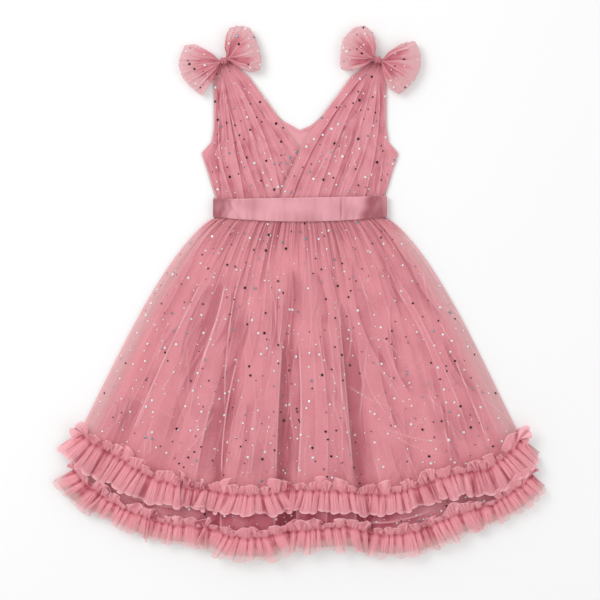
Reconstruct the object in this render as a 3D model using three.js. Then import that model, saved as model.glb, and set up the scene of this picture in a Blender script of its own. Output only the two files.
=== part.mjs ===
// A toddler's sleeveless party dress of spotted tulle, laid flat on its back.
// Sizes are millimetres. X runs across the dress, Y from the hem towards the shoulders and Z up.
// The tables are laid out from the middle of the waist, and the last lines centre the whole dress.
// Left and right are as seen from above.

import * as THREE from "three";

// Cloth layers: each stand-in wall is thicker than the cloth, and lies clear of the one below.
const WALL = 1.3;
const SKIRT_WALL = 1.5;
const RUFFLE_WALL = 1.8;
const SEAM_GAP = 0.3;
const LAYER = WALL + SEAM_GAP;

// Heights at which the layers lie, counted in layers from the surface.
const BACK_LEVEL = 0;
const NECK_LINING_LEVEL = 1;
const UNDER_BACK_LEVEL = 1;
const SKIRT_LINING_LEVEL = 2;
const UNDER_FRONT_LEVEL = 3;
const SKIRT_FRONT_LEVEL = 4;

// Waist and skirt.
const WAIST_HALF = 104;
const WAIST_SEAM_Y = 8;
const STRAIGHT_SHARE = 0.017;
const SKIRT_BULGE = 19.5;
const BULGE_RISE = 0.55;
const SKIRT_COLUMNS = 72;
const SIDE_COLUMNS = 2;
const LINING_INSET_COLUMNS = 3;
const LINING_HEM_SHARE = 0.97;
const PLAIN_COLUMNS = 24;
const GATHER_HEIGHT = 2.6;
const GATHER_HEIGHT_AT_SEAM = 1.3;
const GATHERS_END = 0.36;
const FOLDS_START = 0.04;
const FOLDS_FULL = 0.8;
const UNDER_FOLD_SHARE = 0.85;
const TULLE_BELOW_STITCH = 24;
const UNDER_BELOW_STITCH = 20;

// Ruffles: strips gathered on one stitch line, with a narrow heading above it and a frill below.
// At the sides, where the strip turns to the back, the heading fans out past the tulle.
const HEADING = 12;
const HEADING_FAN = 11;
const FAN_COLUMNS = 6;
const FLUTE_COLUMNS = 3;
const HEADING_STAND = 5;
const FRILL_STAND = 5.2;
const FLUTE_HEIGHT = 3.4;
const FLUTE_SCALLOP = 2.2;
const FRILL_EDGE_SHARE = 0.55;
const HALF_FLUTE_SHARE = 0.6;
const BACK_HEADING = 3;
const BACK_FRILL_SHORT = 2;
const STITCH_SPAN = 0.03;

// The tulle below a stitch line is shorter at the sides.
const SIDE_TULLE_SHARE = 0.35;
const SHORT_TULLE_REACH = 0.1;

// The skirt, one row for each side, top or bottom of its large folds, from left to right.
// seam is the upper ruffle's stitch line, low the lower ruffle's, frill the cloth that each ruffle
// has below it, and lift the height of the fold there.
const FOLDS = [
  { seamX: -277, seamY: -264, frill: 30, lowX: -283, lowY: -309, lowFrill: 29, lift: 0 },
  { seamX: -267, seamY: -273, frill: 27, lowX: -273, lowY: -326, lowFrill: 29, lift: 4 },
  { seamX: -249, seamY: -284, frill: 24, lowX: -252, lowY: -342, lowFrill: 28, lift: 6 },
  { seamX: -230, seamY: -294, frill: 24, lowX: -235, lowY: -353, lowFrill: 27, lift: 2 },
  { seamX: -207, seamY: -309, frill: 24, lowX: -215, lowY: -363, lowFrill: 28, lift: 7 },
  { seamX: -181, seamY: -324, frill: 25, lowX: -192, lowY: -372, lowFrill: 31, lift: 2 },
  { seamX: -147, seamY: -332, frill: 25, lowX: -159, lowY: -381, lowFrill: 29, lift: 8 },
  { seamX: -121, seamY: -337, frill: 24, lowX: -125, lowY: -383, lowFrill: 28, lift: 6 },
  { seamX: -104, seamY: -339, frill: 22, lowX: -101, lowY: -388, lowFrill: 30, lift: 1 },
  { seamX: -91, seamY: -341, frill: 28, lowX: -90, lowY: -394, lowFrill: 31, lift: 12 },
  { seamX: -62, seamY: -342, frill: 28, lowX: -62, lowY: -397, lowFrill: 29, lift: 14 },
  { seamX: -36, seamY: -342, frill: 27, lowX: -35, lowY: -394, lowFrill: 31, lift: 12 },
  { seamX: -20, seamY: -338, frill: 22, lowX: -17, lowY: -388, lowFrill: 26, lift: 0 },
  { seamX: -2, seamY: -336, frill: 27, lowX: 0, lowY: -388, lowFrill: 31, lift: 11 },
  { seamX: 34, seamY: -337, frill: 27, lowX: 32, lowY: -384, lowFrill: 31, lift: 14 },
  { seamX: 65, seamY: -339, frill: 27, lowX: 65, lowY: -382, lowFrill: 31, lift: 12 },
  { seamX: 79, seamY: -343, frill: 22, lowX: 82, lowY: -391, lowFrill: 25, lift: 1 },
  { seamX: 110, seamY: -343, frill: 26, lowX: 112, lowY: -394, lowFrill: 27, lift: 8 },
  { seamX: 144, seamY: -334, frill: 27, lowX: 147, lowY: -389, lowFrill: 28, lift: 6 },
  { seamX: 177, seamY: -321, frill: 26, lowX: 180, lowY: -373, lowFrill: 30, lift: 9 },
  { seamX: 204, seamY: -316, frill: 22, lowX: 210, lowY: -364, lowFrill: 29, lift: 2 },
  { seamX: 230, seamY: -313, frill: 22, lowX: 237, lowY: -357, lowFrill: 26, lift: 6 },
  { seamX: 254, seamY: -297, frill: 24, lowX: 264, lowY: -341, lowFrill: 26, lift: 2 },
  { seamX: 268, seamY: -284, frill: 28, lowX: 280, lowY: -329, lowFrill: 26, lift: 4 },
  { seamX: 277, seamY: -271, frill: 33, lowX: 291, lowY: -316, lowFrill: 25, lift: 0 },
];

// Bodice panels, one row for each height from the shoulder to the waist: the free edge at the neck
// and front, and the edge at the armhole and side.
const PLEAT_COLUMNS = 18;
const BACK_PANEL_COLUMNS = 4;
const PLEAT_HEIGHTS = [0.4, 0.8, 1.4, 1.8, 2, 2, 1.9, 1.8, 1.6, 1.2, 0.8];
const BAND_COLUMNS = 2;
const BAND_RISE = 0.9;
const FLATTENED_UNDER_WRAP = 12;
const LINING_REACH = 0.62;
const OVERLAP_REACH = 0.5;
const PANEL_BOTTOM_Y = WAIST_SEAM_Y + SEAM_GAP;
const SASH_TUCK_Y = 30;

const WRAP_OVER = [
  { freeX: 89, freeY: 199, sideX: 106, sideY: 197 },
  { freeX: 76, freeY: 189, sideX: 109, sideY: 181 },
  { freeX: 62, freeY: 179, sideX: 109, sideY: 162 },
  { freeX: 47, freeY: 158, sideX: 109, sideY: 139 },
  { freeX: 31, freeY: 137, sideX: 109, sideY: 117 },
  { freeX: 14, freeY: 111, sideX: 112, sideY: 97 },
  { freeX: 0, freeY: 89, sideX: 122, sideY: 83 },
  { freeX: -11, freeY: 64, sideX: 117, sideY: 61 },
  { freeX: -19, freeY: 47, sideX: 112, sideY: 44 },
  { freeX: -25, freeY: SASH_TUCK_Y, sideX: 106.5, sideY: SASH_TUCK_Y },
  { freeX: -31, freeY: PANEL_BOTTOM_Y, sideX: 105, sideY: PANEL_BOTTOM_Y },
];

const WRAP_UNDER = [
  { freeX: -89, freeY: 199, sideX: -106, sideY: 197 },
  { freeX: -76, freeY: 191, sideX: -109, sideY: 179 },
  { freeX: -62, freeY: 179, sideX: -109, sideY: 159 },
  { freeX: -47, freeY: 158, sideX: -109, sideY: 137 },
  { freeX: -31, freeY: 136, sideX: -109, sideY: 114 },
  { freeX: -16, freeY: 113, sideX: -112, sideY: 97 },
  { freeX: 0, freeY: 91, sideX: -122, sideY: 83 },
  { freeX: 12, freeY: 64, sideX: -117, sideY: 61 },
  { freeX: 20, freeY: 47, sideX: -112, sideY: 44 },
  { freeX: 26, freeY: SASH_TUCK_Y, sideX: -106.5, sideY: SASH_TUCK_Y },
  { freeX: 32, freeY: PANEL_BOTTOM_Y, sideX: -105, sideY: PANEL_BOTTOM_Y },
];

// The back panels have the front's neckline and armholes, and meet at the centre-back seam.
const HALF_SEAM = SEAM_GAP / 2;
const SASH_BACK_TOP_Y = 28;
const BACK_PANEL = [
  { freeX: 89, freeY: 198, sideX: 105, sideY: 196 },
  { freeX: 76, freeY: 188, sideX: 108, sideY: 180 },
  { freeX: 63, freeY: 177, sideX: 108, sideY: 161 },
  { freeX: 48, freeY: 156, sideX: 108, sideY: 138 },
  { freeX: 32, freeY: 135, sideX: 108, sideY: 116 },
  { freeX: 16, freeY: 120, sideX: 111, sideY: 97 },
  { freeX: HALF_SEAM, freeY: 110, sideX: 121, sideY: 83 },
  { freeX: HALF_SEAM, freeY: 64, sideX: 116, sideY: 61 },
  { freeX: HALF_SEAM, freeY: SASH_BACK_TOP_Y, sideX: 107, sideY: SASH_BACK_TOP_Y },
];

// The plain satin front lining, seen in the point of the neck.
const NECK_LINING = [
  { topX: -34, topY: 131, bottomX: -50 },
  { topX: -16, topY: 121, bottomX: -25 },
  { topX: 0, topY: 112, bottomX: 0 },
  { topX: 14, topY: 118, bottomX: 25 },
  { topX: 30, topY: 130, bottomX: 50 },
];
const NECK_LINING_ROWS = 3;

// Sash: a satin band over the waist seam, which turns down to the back band at the sides.
const SASH_TOP_Y = 27;
const SASH_TOP_TILT = 2;
const SASH_BOTTOM_Y = 3;
const SASH_BOTTOM_SAG = 6;
const SASH_HALF = 108.5;
const SASH_OVER_SKIRT = 9.8;
const SASH_OVER_BODICE = 8.6;
const SASH_PROFILE = [
  { x: -SASH_HALF, rise: 0 },
  { x: -108.2, rise: 0.72 },
  { x: -105.5, rise: 0.94 },
  { x: -98, rise: 1.02 },
  { x: -88, rise: 1.08 },
  { x: -84, rise: 1.0 },
  { x: -66, rise: 1.1 },
  { x: -45, rise: 1.04 },
  { x: -18, rise: 1.11 },
  { x: 10, rise: 1.06 },
  { x: 34, rise: 1.1 },
  { x: 49, rise: 1.08 },
  { x: 52, rise: 1.01 },
  { x: 57, rise: 1.08 },
  { x: 76, rise: 1.1 },
  { x: 86, rise: 1.0 },
  { x: 98, rise: 1.03 },
  { x: 105.5, rise: 0.94 },
  { x: 108.2, rise: 0.72 },
  { x: SASH_HALF, rise: 0 },
];

// Bows: each loop is a fan of pleated tulle from the knot, folded back under itself at its end.
const BOW_LOOPS = [
  {
    name: "bow_left_outer",
    knotX: -95,
    knotY: 198,
    fan: [
      { degrees: 150, reach: 40 },
      { degrees: 159, reach: 52 },
      { degrees: 176, reach: 55 },
      { degrees: 188, reach: 57 },
      { degrees: 206, reach: 55 },
      { degrees: 222, reach: 52 },
      { degrees: 239, reach: 51 },
    ],
  },
  {
    name: "bow_left_inner",
    knotX: -95,
    knotY: 198,
    fan: [
      { degrees: 86, reach: 30 },
      { degrees: 80, reach: 41 },
      { degrees: 66, reach: 47 },
      { degrees: 52, reach: 52 },
      { degrees: 26, reach: 47 },
      { degrees: 6, reach: 47 },
      { degrees: -15, reach: 47 },
      { degrees: -24, reach: 36 },
    ],
  },
  {
    name: "bow_right_inner",
    knotX: 97,
    knotY: 199,
    fan: [
      { degrees: 97, reach: 28 },
      { degrees: 111, reach: 46 },
      { degrees: 130, reach: 50 },
      { degrees: 151, reach: 50 },
      { degrees: 172, reach: 47 },
      { degrees: 194, reach: 48 },
      { degrees: 205, reach: 34 },
    ],
  },
  {
    name: "bow_right_outer",
    knotX: 97,
    knotY: 199,
    fan: [
      { degrees: 34, reach: 36 },
      { degrees: 26, reach: 52 },
      { degrees: 6, reach: 54 },
      { degrees: -14, reach: 54 },
      { degrees: -36, reach: 52 },
      { degrees: -58, reach: 51 },
      { degrees: -69, reach: 38 },
    ],
  },
];
const LOOP_COLUMNS = 8;
const LOOP_ROOT = 6.8;
const LOOP_FLOOR = 5.5;
const LOOP_PLEAT = 1.2;
const LOOP_PROFILE = [
  { out: 0, up: 5.2, pleat: 0.4 },
  { out: 0.35, up: 8.6, pleat: 1 },
  { out: 0.7, up: 10.6, pleat: 1 },
  { out: 0.93, up: 9, pleat: 0.6 },
  { out: 1, up: 5, pleat: 0 },
  { out: 0.93, up: 1.3, pleat: 0 },
  { out: 0.6, up: 0.2, pleat: 0 },
  { out: 0, up: 0.6, pleat: 0 },
];
const KNOTS = [
  { name: "bow_left_knot", x: -95, y: 198 },
  { name: "bow_right_knot", x: 97, y: 199 },
];
const KNOT_CENTRE_Z = 8.3;
const KNOT_SIDES = 10;
const KNOT_PROFILE = [
  { along: -5, radius: 0 },
  { along: -5, radius: 3.4 },
  { along: -3, radius: 4.7 },
  { along: -0.8, radius: 4.4 },
  { along: 0.8, radius: 4.8 },
  { along: 3, radius: 4.6 },
  { along: 5, radius: 3.4 },
  { along: 5, radius: 0 },
];

// Finishes.
const SPOTTED_TULLE = { color: 0xd9909a, roughness: 0.75 };
const PLAIN_TULLE = { color: 0xe18d97, roughness: 0.8 };
const SATIN = { color: 0xe3a2ab, roughness: 0.4 };
const LINING_SATIN = { color: 0xe5a1a9, roughness: 0.5 };

const lerp = THREE.MathUtils.lerp;
const level = (count) => count * LAYER;
const eased = (value, from, to) => THREE.MathUtils.smoothstep(value, from, to);

// A steady unevenness between 0 and 1, so that no two neighbouring folds are alike.
const uneven = (index, pace) =>
  0.5 + 0.28 * Math.sin(index * pace) + 0.22 * Math.sin(index * pace * 2.7 + 1);

// One closed cloth wall between two grids of points, its upper and lower faces.
function wall(name, upper, lower, finish) {
  const rows = upper.length;
  const columns = upper[0].length;
  const points = [...upper.flat(), ...lower.flat()];
  const below = rows * columns;
  const at = (row, column) => row * columns + column;
  const faces = [];
  const quad = (a, b, c, d) => faces.push(a, b, c, a, c, d);
  for (let row = 0; row + 1 < rows; row += 1) {
    for (let column = 0; column + 1 < columns; column += 1) {
      const a = at(row, column);
      const b = at(row, column + 1);
      const c = at(row + 1, column + 1);
      const d = at(row + 1, column);
      quad(a, d, c, b);
      quad(below + a, below + b, below + c, below + d);
    }
  }
  const rim = [];
  for (let column = 0; column + 1 < columns; column += 1) rim.push(at(0, column));
  for (let row = 0; row + 1 < rows; row += 1) rim.push(at(row, columns - 1));
  for (let column = columns - 1; column > 0; column -= 1) rim.push(at(rows - 1, column));
  for (let row = rows - 1; row > 0; row -= 1) rim.push(at(row, 0));
  rim.forEach((from, index) => {
    const to = rim[(index + 1) % rim.length];
    quad(from, to, below + to, below + from);
  });
  if (enclosed(points, faces) < 0) faces.reverse();
  const geometry = new THREE.BufferGeometry();
  geometry.setFromPoints(points);
  geometry.setIndex(faces);
  geometry.computeVertexNormals();
  const material = new THREE.MeshStandardMaterial({ ...finish, metalness: 0, side: THREE.FrontSide });
  const mesh = new THREE.Mesh(geometry, material);
  mesh.name = name;
  return mesh;
}

// Six times the volume inside a closed set of faces, negative when the faces point inwards.
function enclosed(points, faces) {
  let sum = 0;
  for (let index = 0; index < faces.length; index += 3) {
    const [a, b, c] = [points[faces[index]], points[faces[index + 1]], points[faces[index + 2]]];
    sum += a.dot(new THREE.Vector3().crossVectors(b, c));
  }
  return sum;
}

// A grid of points from a function of row and column, and the same grid moved up or down.
const counted = (length, make) => Array.from({ length }, (_, index) => make(index));
const grid = (rows, columns, place) =>
  counted(rows, (row) => counted(columns, (column) => place(row, column)));
const moved = (points, rise) =>
  points.map((row) => row.map((p) => new THREE.Vector3(p.x, p.y, p.z + rise)));

// A wall whose lower face is the given grid.
const raised = (name, lower, thickness, finish) => wall(name, moved(lower, thickness), lower, finish);

// Shares of the hem's length at which the rows of the fold table stand.
const foldShares = (() => {
  const lengths = [0];
  for (let index = 1; index < FOLDS.length; index += 1) {
    const step = Math.hypot(
      FOLDS[index].seamX - FOLDS[index - 1].seamX,
      FOLDS[index].seamY - FOLDS[index - 1].seamY,
    );
    lengths.push(lengths[index - 1] + step);
  }
  return lengths.map((length) => length / lengths.at(-1));
})();

// The fold table between its rows, straight for places and eased for heights.
function alongHem(share, column) {
  const held = THREE.MathUtils.clamp(share, 0, 1);
  let index = 1;
  while (index < FOLDS.length - 1 && foldShares[index] < held) index += 1;
  const part = (held - foldShares[index - 1]) / (foldShares[index] - foldShares[index - 1]);
  const ease = column === "lift" ? eased(part, 0, 1) : part;
  return lerp(FOLDS[index - 1][column], FOLDS[index][column], ease);
}

// A stitch line's point and the direction in which its frill falls.
function stitch(share, xColumn, yColumn) {
  const point = new THREE.Vector2(alongHem(share, xColumn), alongHem(share, yColumn));
  const before = Math.max(0, share - STITCH_SPAN);
  const after = Math.min(1, share + STITCH_SPAN);
  const dx = alongHem(after, xColumn) - alongHem(before, xColumn);
  const dy = alongHem(after, yColumn) - alongHem(before, yColumn);
  const out = new THREE.Vector2(dy, -dx).normalize();
  return { point, out };
}
const upperStitch = (share) => stitch(share, "seamX", "seamY");
const lowerStitch = (share) => stitch(share, "lowX", "lowY");

// A point of the upper tier: down is 0 at the waist and 1 at the stitch line, past is the length below it.
function skirtPlace(share, down, past) {
  const { point, out } = upperStitch(share);
  const waistX = lerp(-WAIST_HALF, WAIST_HALF, share);
  const flare = Math.max(0, (down - STRAIGHT_SHARE) / (1 - STRAIGHT_SHARE));
  const bulge = SKIRT_BULGE * Math.sin(Math.PI * flare ** BULGE_RISE) * (2 * share - 1);
  const x = lerp(waistX, point.x, flare) + bulge + out.x * past;
  const y = lerp(WAIST_SEAM_Y, point.y, down) + out.y * past;
  return new THREE.Vector2(x, y);
}

// The share of the way down the skirt at which a ruffle's heading ends.
function headingShare(share) {
  const { point } = upperStitch(share);
  const length = Math.hypot(point.x - lerp(-WAIST_HALF, WAIST_HALF, share), point.y - WAIST_SEAM_Y);
  return 1 - HEADING / length;
}

// Height of the upper tier's under face above its lowest layer.
function foldHeight(column, down) {
  const share = column / SKIRT_COLUMNS;
  const folds = alongHem(share, "lift") * eased(down, FOLDS_START, FOLDS_FULL);
  const fading = 1 - eased(down, 0, GATHERS_END);
  const gathering = down <= STRAIGHT_SHARE ? GATHER_HEIGHT_AT_SEAM : GATHER_HEIGHT * fading;
  const ridge = column % 2 === 1 ? gathering * uneven(column, 1.9) : 0;
  return folds + ridge;
}

// How far a layer's side edge has come down to the layer it is sewn to: 0 at the edge, 1 inside.
const sideRise = (column) =>
  Math.min(1, Math.min(column, SKIRT_COLUMNS - column) / SIDE_COLUMNS);

const SKIRT_ROWS = [
  { down: 0 },
  { down: STRAIGHT_SHARE },
  { down: 0.06 },
  { down: 0.14 },
  { down: 0.28 },
  { down: 0.5 },
  { down: 0.76 },
  { down: "heading" },
  { down: 1 },
  { down: 1, past: TULLE_BELOW_STITCH / 2 },
  { down: 1, past: TULLE_BELOW_STITCH },
];
const HEADING_ROW = 7;
const STITCH_ROW = 8;
const HALF_FRILL_ROW = 9;

// The length of tulle below the upper stitch line.
const belowStitch = (share, length) =>
  length * lerp(SIDE_TULLE_SHARE, 1, eased(Math.min(share, 1 - share), 0, SHORT_TULLE_REACH));

// Under face of the upper tier's front.
const skirtFront = grid(SKIRT_ROWS.length, SKIRT_COLUMNS + 1, (row, column) => {
  const share = column / SKIRT_COLUMNS;
  const { down, past = 0 } = SKIRT_ROWS[row];
  const reach = down === "heading" ? headingShare(share) : down;
  const length = past && (belowStitch(share, TULLE_BELOW_STITCH) * past) / TULLE_BELOW_STITCH;
  const place = skirtPlace(share, reach, length);
  const base = lerp(level(1), level(SKIRT_FRONT_LEVEL), sideRise(column));
  return new THREE.Vector3(place.x, place.y, base + foldHeight(column, reach));
});

// The under tier hangs below the upper one, and its hidden part lies flat.
const UNDER_ROWS = [
  { down: STRAIGHT_SHARE },
  { down: 0.86 },
  { down: 1, past: TULLE_BELOW_STITCH, fold: 1 },
  { low: -HEADING, fold: 0.9 },
  { low: 0, fold: 0.85 },
  { low: UNDER_BELOW_STITCH / 2, fold: 0.85 },
  { low: UNDER_BELOW_STITCH, fold: 0.85 },
];
const UNDER_HEADING_ROW = 3;
const UNDER_STITCH_ROW = 4;
const UNDER_HALF_FRILL_ROW = 5;
const UNDER_COLUMNS = SKIRT_COLUMNS - 2 * SIDE_COLUMNS;

const underFront = grid(UNDER_ROWS.length, UNDER_COLUMNS + 1, (row, column) => {
  const skirtColumn = column + SIDE_COLUMNS;
  const share = skirtColumn / SKIRT_COLUMNS;
  const { down, past = 0, low, fold = 0 } = UNDER_ROWS[row];
  const lift = alongHem(share, "lift") * fold * UNDER_FOLD_SHARE;
  const atSide = column === 0 || column === UNDER_COLUMNS;
  const base = atSide && fold ? level(SKIRT_LINING_LEVEL) : level(UNDER_FRONT_LEVEL);
  if (low === undefined) {
    const length = past && belowStitch(share, past);
    const place = skirtPlace(share, down, length);
    return new THREE.Vector3(place.x, place.y, base + lift);
  }
  const { point, out } = lowerStitch(column / UNDER_COLUMNS);
  return new THREE.Vector3(point.x + out.x * low, point.y + out.y * low, base + lift);
});

// The skirt lining lies flat, well inside the tulle.
const LINING_ROWS = 4;
const skirtLining = grid(LINING_ROWS + 1, PLAIN_COLUMNS + 1, (row, column) => {
  const inset = LINING_INSET_COLUMNS / SKIRT_COLUMNS;
  const share = lerp(inset, 1 - inset, column / PLAIN_COLUMNS);
  const place = skirtPlace(share, (LINING_HEM_SHARE * row) / LINING_ROWS, 0);
  return new THREE.Vector3(place.x, place.y, level(SKIRT_LINING_LEVEL));
});

// The back tiers lie flat. The upper one ends just short of its ruffle's strip.
const BACK_ROWS = 5;
const skirtBack = grid(BACK_ROWS + 1, PLAIN_COLUMNS + 1, (row, column) => {
  const share = column / PLAIN_COLUMNS;
  const last = row === BACK_ROWS;
  const place = skirtPlace(share, row / BACK_ROWS, last ? -BACK_HEADING : 0);
  return new THREE.Vector3(place.x, place.y, level(BACK_LEVEL));
});
const underBack = grid(BACK_ROWS + 1, PLAIN_COLUMNS + 1, (row, column) => {
  const share = column / PLAIN_COLUMNS;
  const inside = lerp(SIDE_COLUMNS / SKIRT_COLUMNS, 1 - SIDE_COLUMNS / SKIRT_COLUMNS, share);
  const { point } = lowerStitch(share);
  const place = row === BACK_ROWS ? point : skirtPlace(inside, row / (BACK_ROWS - 1), 0);
  return new THREE.Vector3(place.x, place.y, level(UNDER_BACK_LEVEL));
});

// A flute's height across its columns: rounded on top, with a narrow valley between flutes.
function fluteHeight(column, strength) {
  const valley = column % FLUTE_COLUMNS === 0;
  return valley ? 0 : strength * (0.55 + 0.45 * uneven(Math.floor(column / FLUTE_COLUMNS), 2.3));
}

// Under face of a front ruffle, on the tier's upper face: heading, stitch line, half frill and edge.
function ruffleFront(tier, rows, thickness, seamOf, frillColumn) {
  const tierColumns = tier[0].length - 1;
  const columns = tierColumns * 2;
  const topOf = (row, column) => {
    const left = tier[row][Math.floor(column / 2)];
    const right = tier[row][Math.ceil(column / 2)];
    return new THREE.Vector3().addVectors(left, right).multiplyScalar(0.5);
  };
  return grid(4, columns + 1, (line, column) => {
    const share = column / columns;
    const clear = thickness + SEAM_GAP;
    if (line === 0) {
      const p = topOf(rows.heading, column);
      p.z += clear + HEADING_STAND / 2 + fluteHeight(column + 1, FLUTE_HEIGHT);
      const nearEnd = Math.max(0, 1 - Math.min(column, columns - column) / FAN_COLUMNS);
      p.x += Math.sign(p.x) * HEADING_FAN * nearEnd ** 2;
      return p;
    }
    if (line === 1) {
      const p = topOf(rows.stitch, column);
      p.z += clear;
      return p;
    }
    if (line === 2) {
      const p = topOf(rows.half, column);
      p.z += clear + FRILL_STAND / 2 + fluteHeight(column, FLUTE_HEIGHT * HALF_FLUTE_SHARE);
      return p;
    }
    const { point, out } = seamOf(share);
    const scallop = FLUTE_SCALLOP * (uneven(column, 1.3) - 0.5);
    const reach = alongHem(share, frillColumn) + scallop;
    const z = topOf(rows.half, column).z + clear;
    const stand = FRILL_STAND * FRILL_EDGE_SHARE + fluteHeight(column, FLUTE_HEIGHT);
    return new THREE.Vector3(point.x + out.x * reach, point.y + out.y * reach, z + stand);
  });
}

// A back ruffle is a flat strip from its stitch line to the front frill's edge.
const backRuffle = (seamOf, frillColumn, heading) =>
  grid(2, PLAIN_COLUMNS + 1, (row, column) => {
    const share = column / PLAIN_COLUMNS;
    const { point, out } = seamOf(share);
    const reach = row === 0 ? heading : alongHem(share, frillColumn) - BACK_FRILL_SHORT;
    return new THREE.Vector3(point.x + out.x * reach, point.y + out.y * reach, level(BACK_LEVEL));
  });

// A bodice panel's point between its free edge and its side edge.
function panelPlace(table, row, share) {
  const { freeX, freeY, sideX, sideY } = table[row];
  return new THREE.Vector2(lerp(freeX, sideX, share), lerp(freeY, sideY, share));
}

// Pleats run from the shoulder to the waist. The over wrap's free edge is a flat folded band.
function pleat(row, column, banded) {
  if (banded && column <= BAND_COLUMNS) return BAND_RISE;
  return column % 2 === 1 ? PLEAT_HEIGHTS[row] * (0.35 + 0.65 * uneven(column, 2.1)) : 0;
}

// The free edge of the over wrap at a height above the waist.
function wrapEdgeX(y) {
  let row = 1;
  while (row < WRAP_OVER.length - 1 && WRAP_OVER[row].freeY > y) row += 1;
  const above = WRAP_OVER[row - 1];
  const under = WRAP_OVER[row];
  return THREE.MathUtils.mapLinear(y, above.freeY, under.freeY, above.freeX, under.freeX);
}

const wrapUnder = grid(WRAP_UNDER.length, PLEAT_COLUMNS + 1, (row, column) => {
  const share = column / PLEAT_COLUMNS;
  const place = panelPlace(WRAP_UNDER, row, share);
  const overLining = eased(row, 2, 3) * (1 - eased(share, LINING_REACH, 1));
  const shown = eased(wrapEdgeX(place.y) - place.x, 0, FLATTENED_UNDER_WRAP);
  const z = level(1 + overLining) + pleat(row, column, false) * shown;
  return new THREE.Vector3(place.x, place.y, z);
});

const wrapOver = grid(WRAP_OVER.length, PLEAT_COLUMNS + 1, (row, column) => {
  const share = column / PLEAT_COLUMNS;
  const place = panelPlace(WRAP_OVER, row, share);
  const overLining = eased(row, 2, 3) * (1 - eased(share, LINING_REACH, 1));
  const overWrap = eased(row, 4, 5) * (1 - eased(share, OVERLAP_REACH, 1));
  const z = level(1 + overLining + overWrap) + pleat(row, column, true);
  return new THREE.Vector3(place.x, place.y, z);
});

const backPanel = (side) =>
  grid(BACK_PANEL.length, BACK_PANEL_COLUMNS + 1, (row, column) => {
    const place = panelPlace(BACK_PANEL, row, column / BACK_PANEL_COLUMNS);
    return new THREE.Vector3(side * place.x, place.y, level(BACK_LEVEL));
  });

const neckLining = grid(NECK_LINING_ROWS, NECK_LINING.length, (row, column) => {
  const { topX, topY, bottomX } = NECK_LINING[column];
  const share = row / (NECK_LINING_ROWS - 1);
  const x = lerp(topX, bottomX, share);
  return new THREE.Vector3(x, lerp(topY, PANEL_BOTTOM_Y, share), level(NECK_LINING_LEVEL));
});

// A line of points in a plane moved by a thickness to one side, square to itself.
function inset(line, thickness) {
  return line.map((point, index) => {
    const before = line[Math.max(0, index - 1)];
    const after = line[Math.min(line.length - 1, index + 1)];
    const along = new THREE.Vector2().subVectors(after, before).normalize();
    return new THREE.Vector2(point.x + along.y * thickness, point.y - along.x * thickness);
  });
}

// Sash front, with its outer face over the gathers and its ends turned down.
function sashFront() {
  const lines = [
    { y: (x) => SASH_TOP_Y + (SASH_TOP_TILT * x) / SASH_HALF, over: SASH_OVER_BODICE },
    { y: () => WAIST_SEAM_Y + 2, over: SASH_OVER_SKIRT },
    { y: (x) => SASH_BOTTOM_Y - SASH_BOTTOM_SAG * (1 - (x / SASH_HALF) ** 2), over: SASH_OVER_SKIRT },
  ];
  const floor = level(1);
  const faces = lines.map(({ y, over }) => {
    const height = over + WALL - floor;
    const outer = SASH_PROFILE.map(({ x, rise }) => new THREE.Vector2(x, floor + height * rise));
    const place = (p) => new THREE.Vector3(p.x, y(p.x), p.y);
    const inner = inset(outer, WALL);
    inner[0].set(-SASH_HALF + WALL, floor);
    inner[inner.length - 1].set(SASH_HALF - WALL, floor);
    return { outer: outer.map(place), inner: inner.map(place) };
  });
  return wall("sash_front", faces.map((f) => f.outer), faces.map((f) => f.inner), SATIN);
}

// Sash back, flat between the back bodice and the back skirt.
const sashBack = grid(2, 2, (row, column) => {
  const x = column === 0 ? -SASH_HALF : SASH_HALF;
  const y = row === 0 ? SASH_BACK_TOP_Y - SEAM_GAP : PANEL_BOTTOM_Y;
  return new THREE.Vector3(x, y, level(BACK_LEVEL));
});

// A bow loop: the profile from the knot out over the top and back underneath, once for each ray.
function bowLoop({ name, knotX, knotY, fan }) {
  const outer = [];
  const inner = [];
  for (let column = 0; column <= LOOP_COLUMNS; column += 1) {
    const along = (column / LOOP_COLUMNS) * (fan.length - 1);
    const index = Math.min(Math.floor(along), fan.length - 2);
    const part = along - index;
    const degrees = lerp(fan[index].degrees, fan[index + 1].degrees, part);
    const reach = lerp(fan[index].reach, fan[index + 1].reach, part);
    const angle = THREE.MathUtils.degToRad(degrees);
    const fold = column % 2 === 1 ? LOOP_PLEAT : -LOOP_PLEAT * 0.4;
    const profile = LOOP_PROFILE.map(
      ({ out, up, pleat: share }) =>
        new THREE.Vector2(lerp(LOOP_ROOT, reach, out), LOOP_FLOOR + up + fold * share),
    );
    const place = (p) =>
      new THREE.Vector3(knotX + Math.cos(angle) * p.x, knotY + Math.sin(angle) * p.x, p.y);
    outer.push(profile.map(place));
    inner.push(inset(profile, WALL).map(place));
  }
  return wall(name, outer, inner, SPOTTED_TULLE);
}

function knot({ name, x, y }) {
  const profile = KNOT_PROFILE.map(({ along, radius }) => new THREE.Vector2(radius, along));
  const geometry = new THREE.LatheGeometry(profile, KNOT_SIDES);
  const material = new THREE.MeshStandardMaterial({ ...SPOTTED_TULLE, metalness: 0 });
  const mesh = new THREE.Mesh(geometry, material);
  mesh.name = name;
  mesh.rotation.z = Math.PI / 2;
  mesh.position.set(x, y, KNOT_CENTRE_Z);
  return mesh;
}

const upperRows = { heading: HEADING_ROW, stitch: STITCH_ROW, half: HALF_FRILL_ROW };
const lowerRows = { heading: UNDER_HEADING_ROW, stitch: UNDER_STITCH_ROW, half: UNDER_HALF_FRILL_ROW };
const upperRuffle = ruffleFront(skirtFront, upperRows, SKIRT_WALL, upperStitch, "frill");
const lowerRuffle = ruffleFront(underFront, lowerRows, WALL, lowerStitch, "lowFrill");

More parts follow.
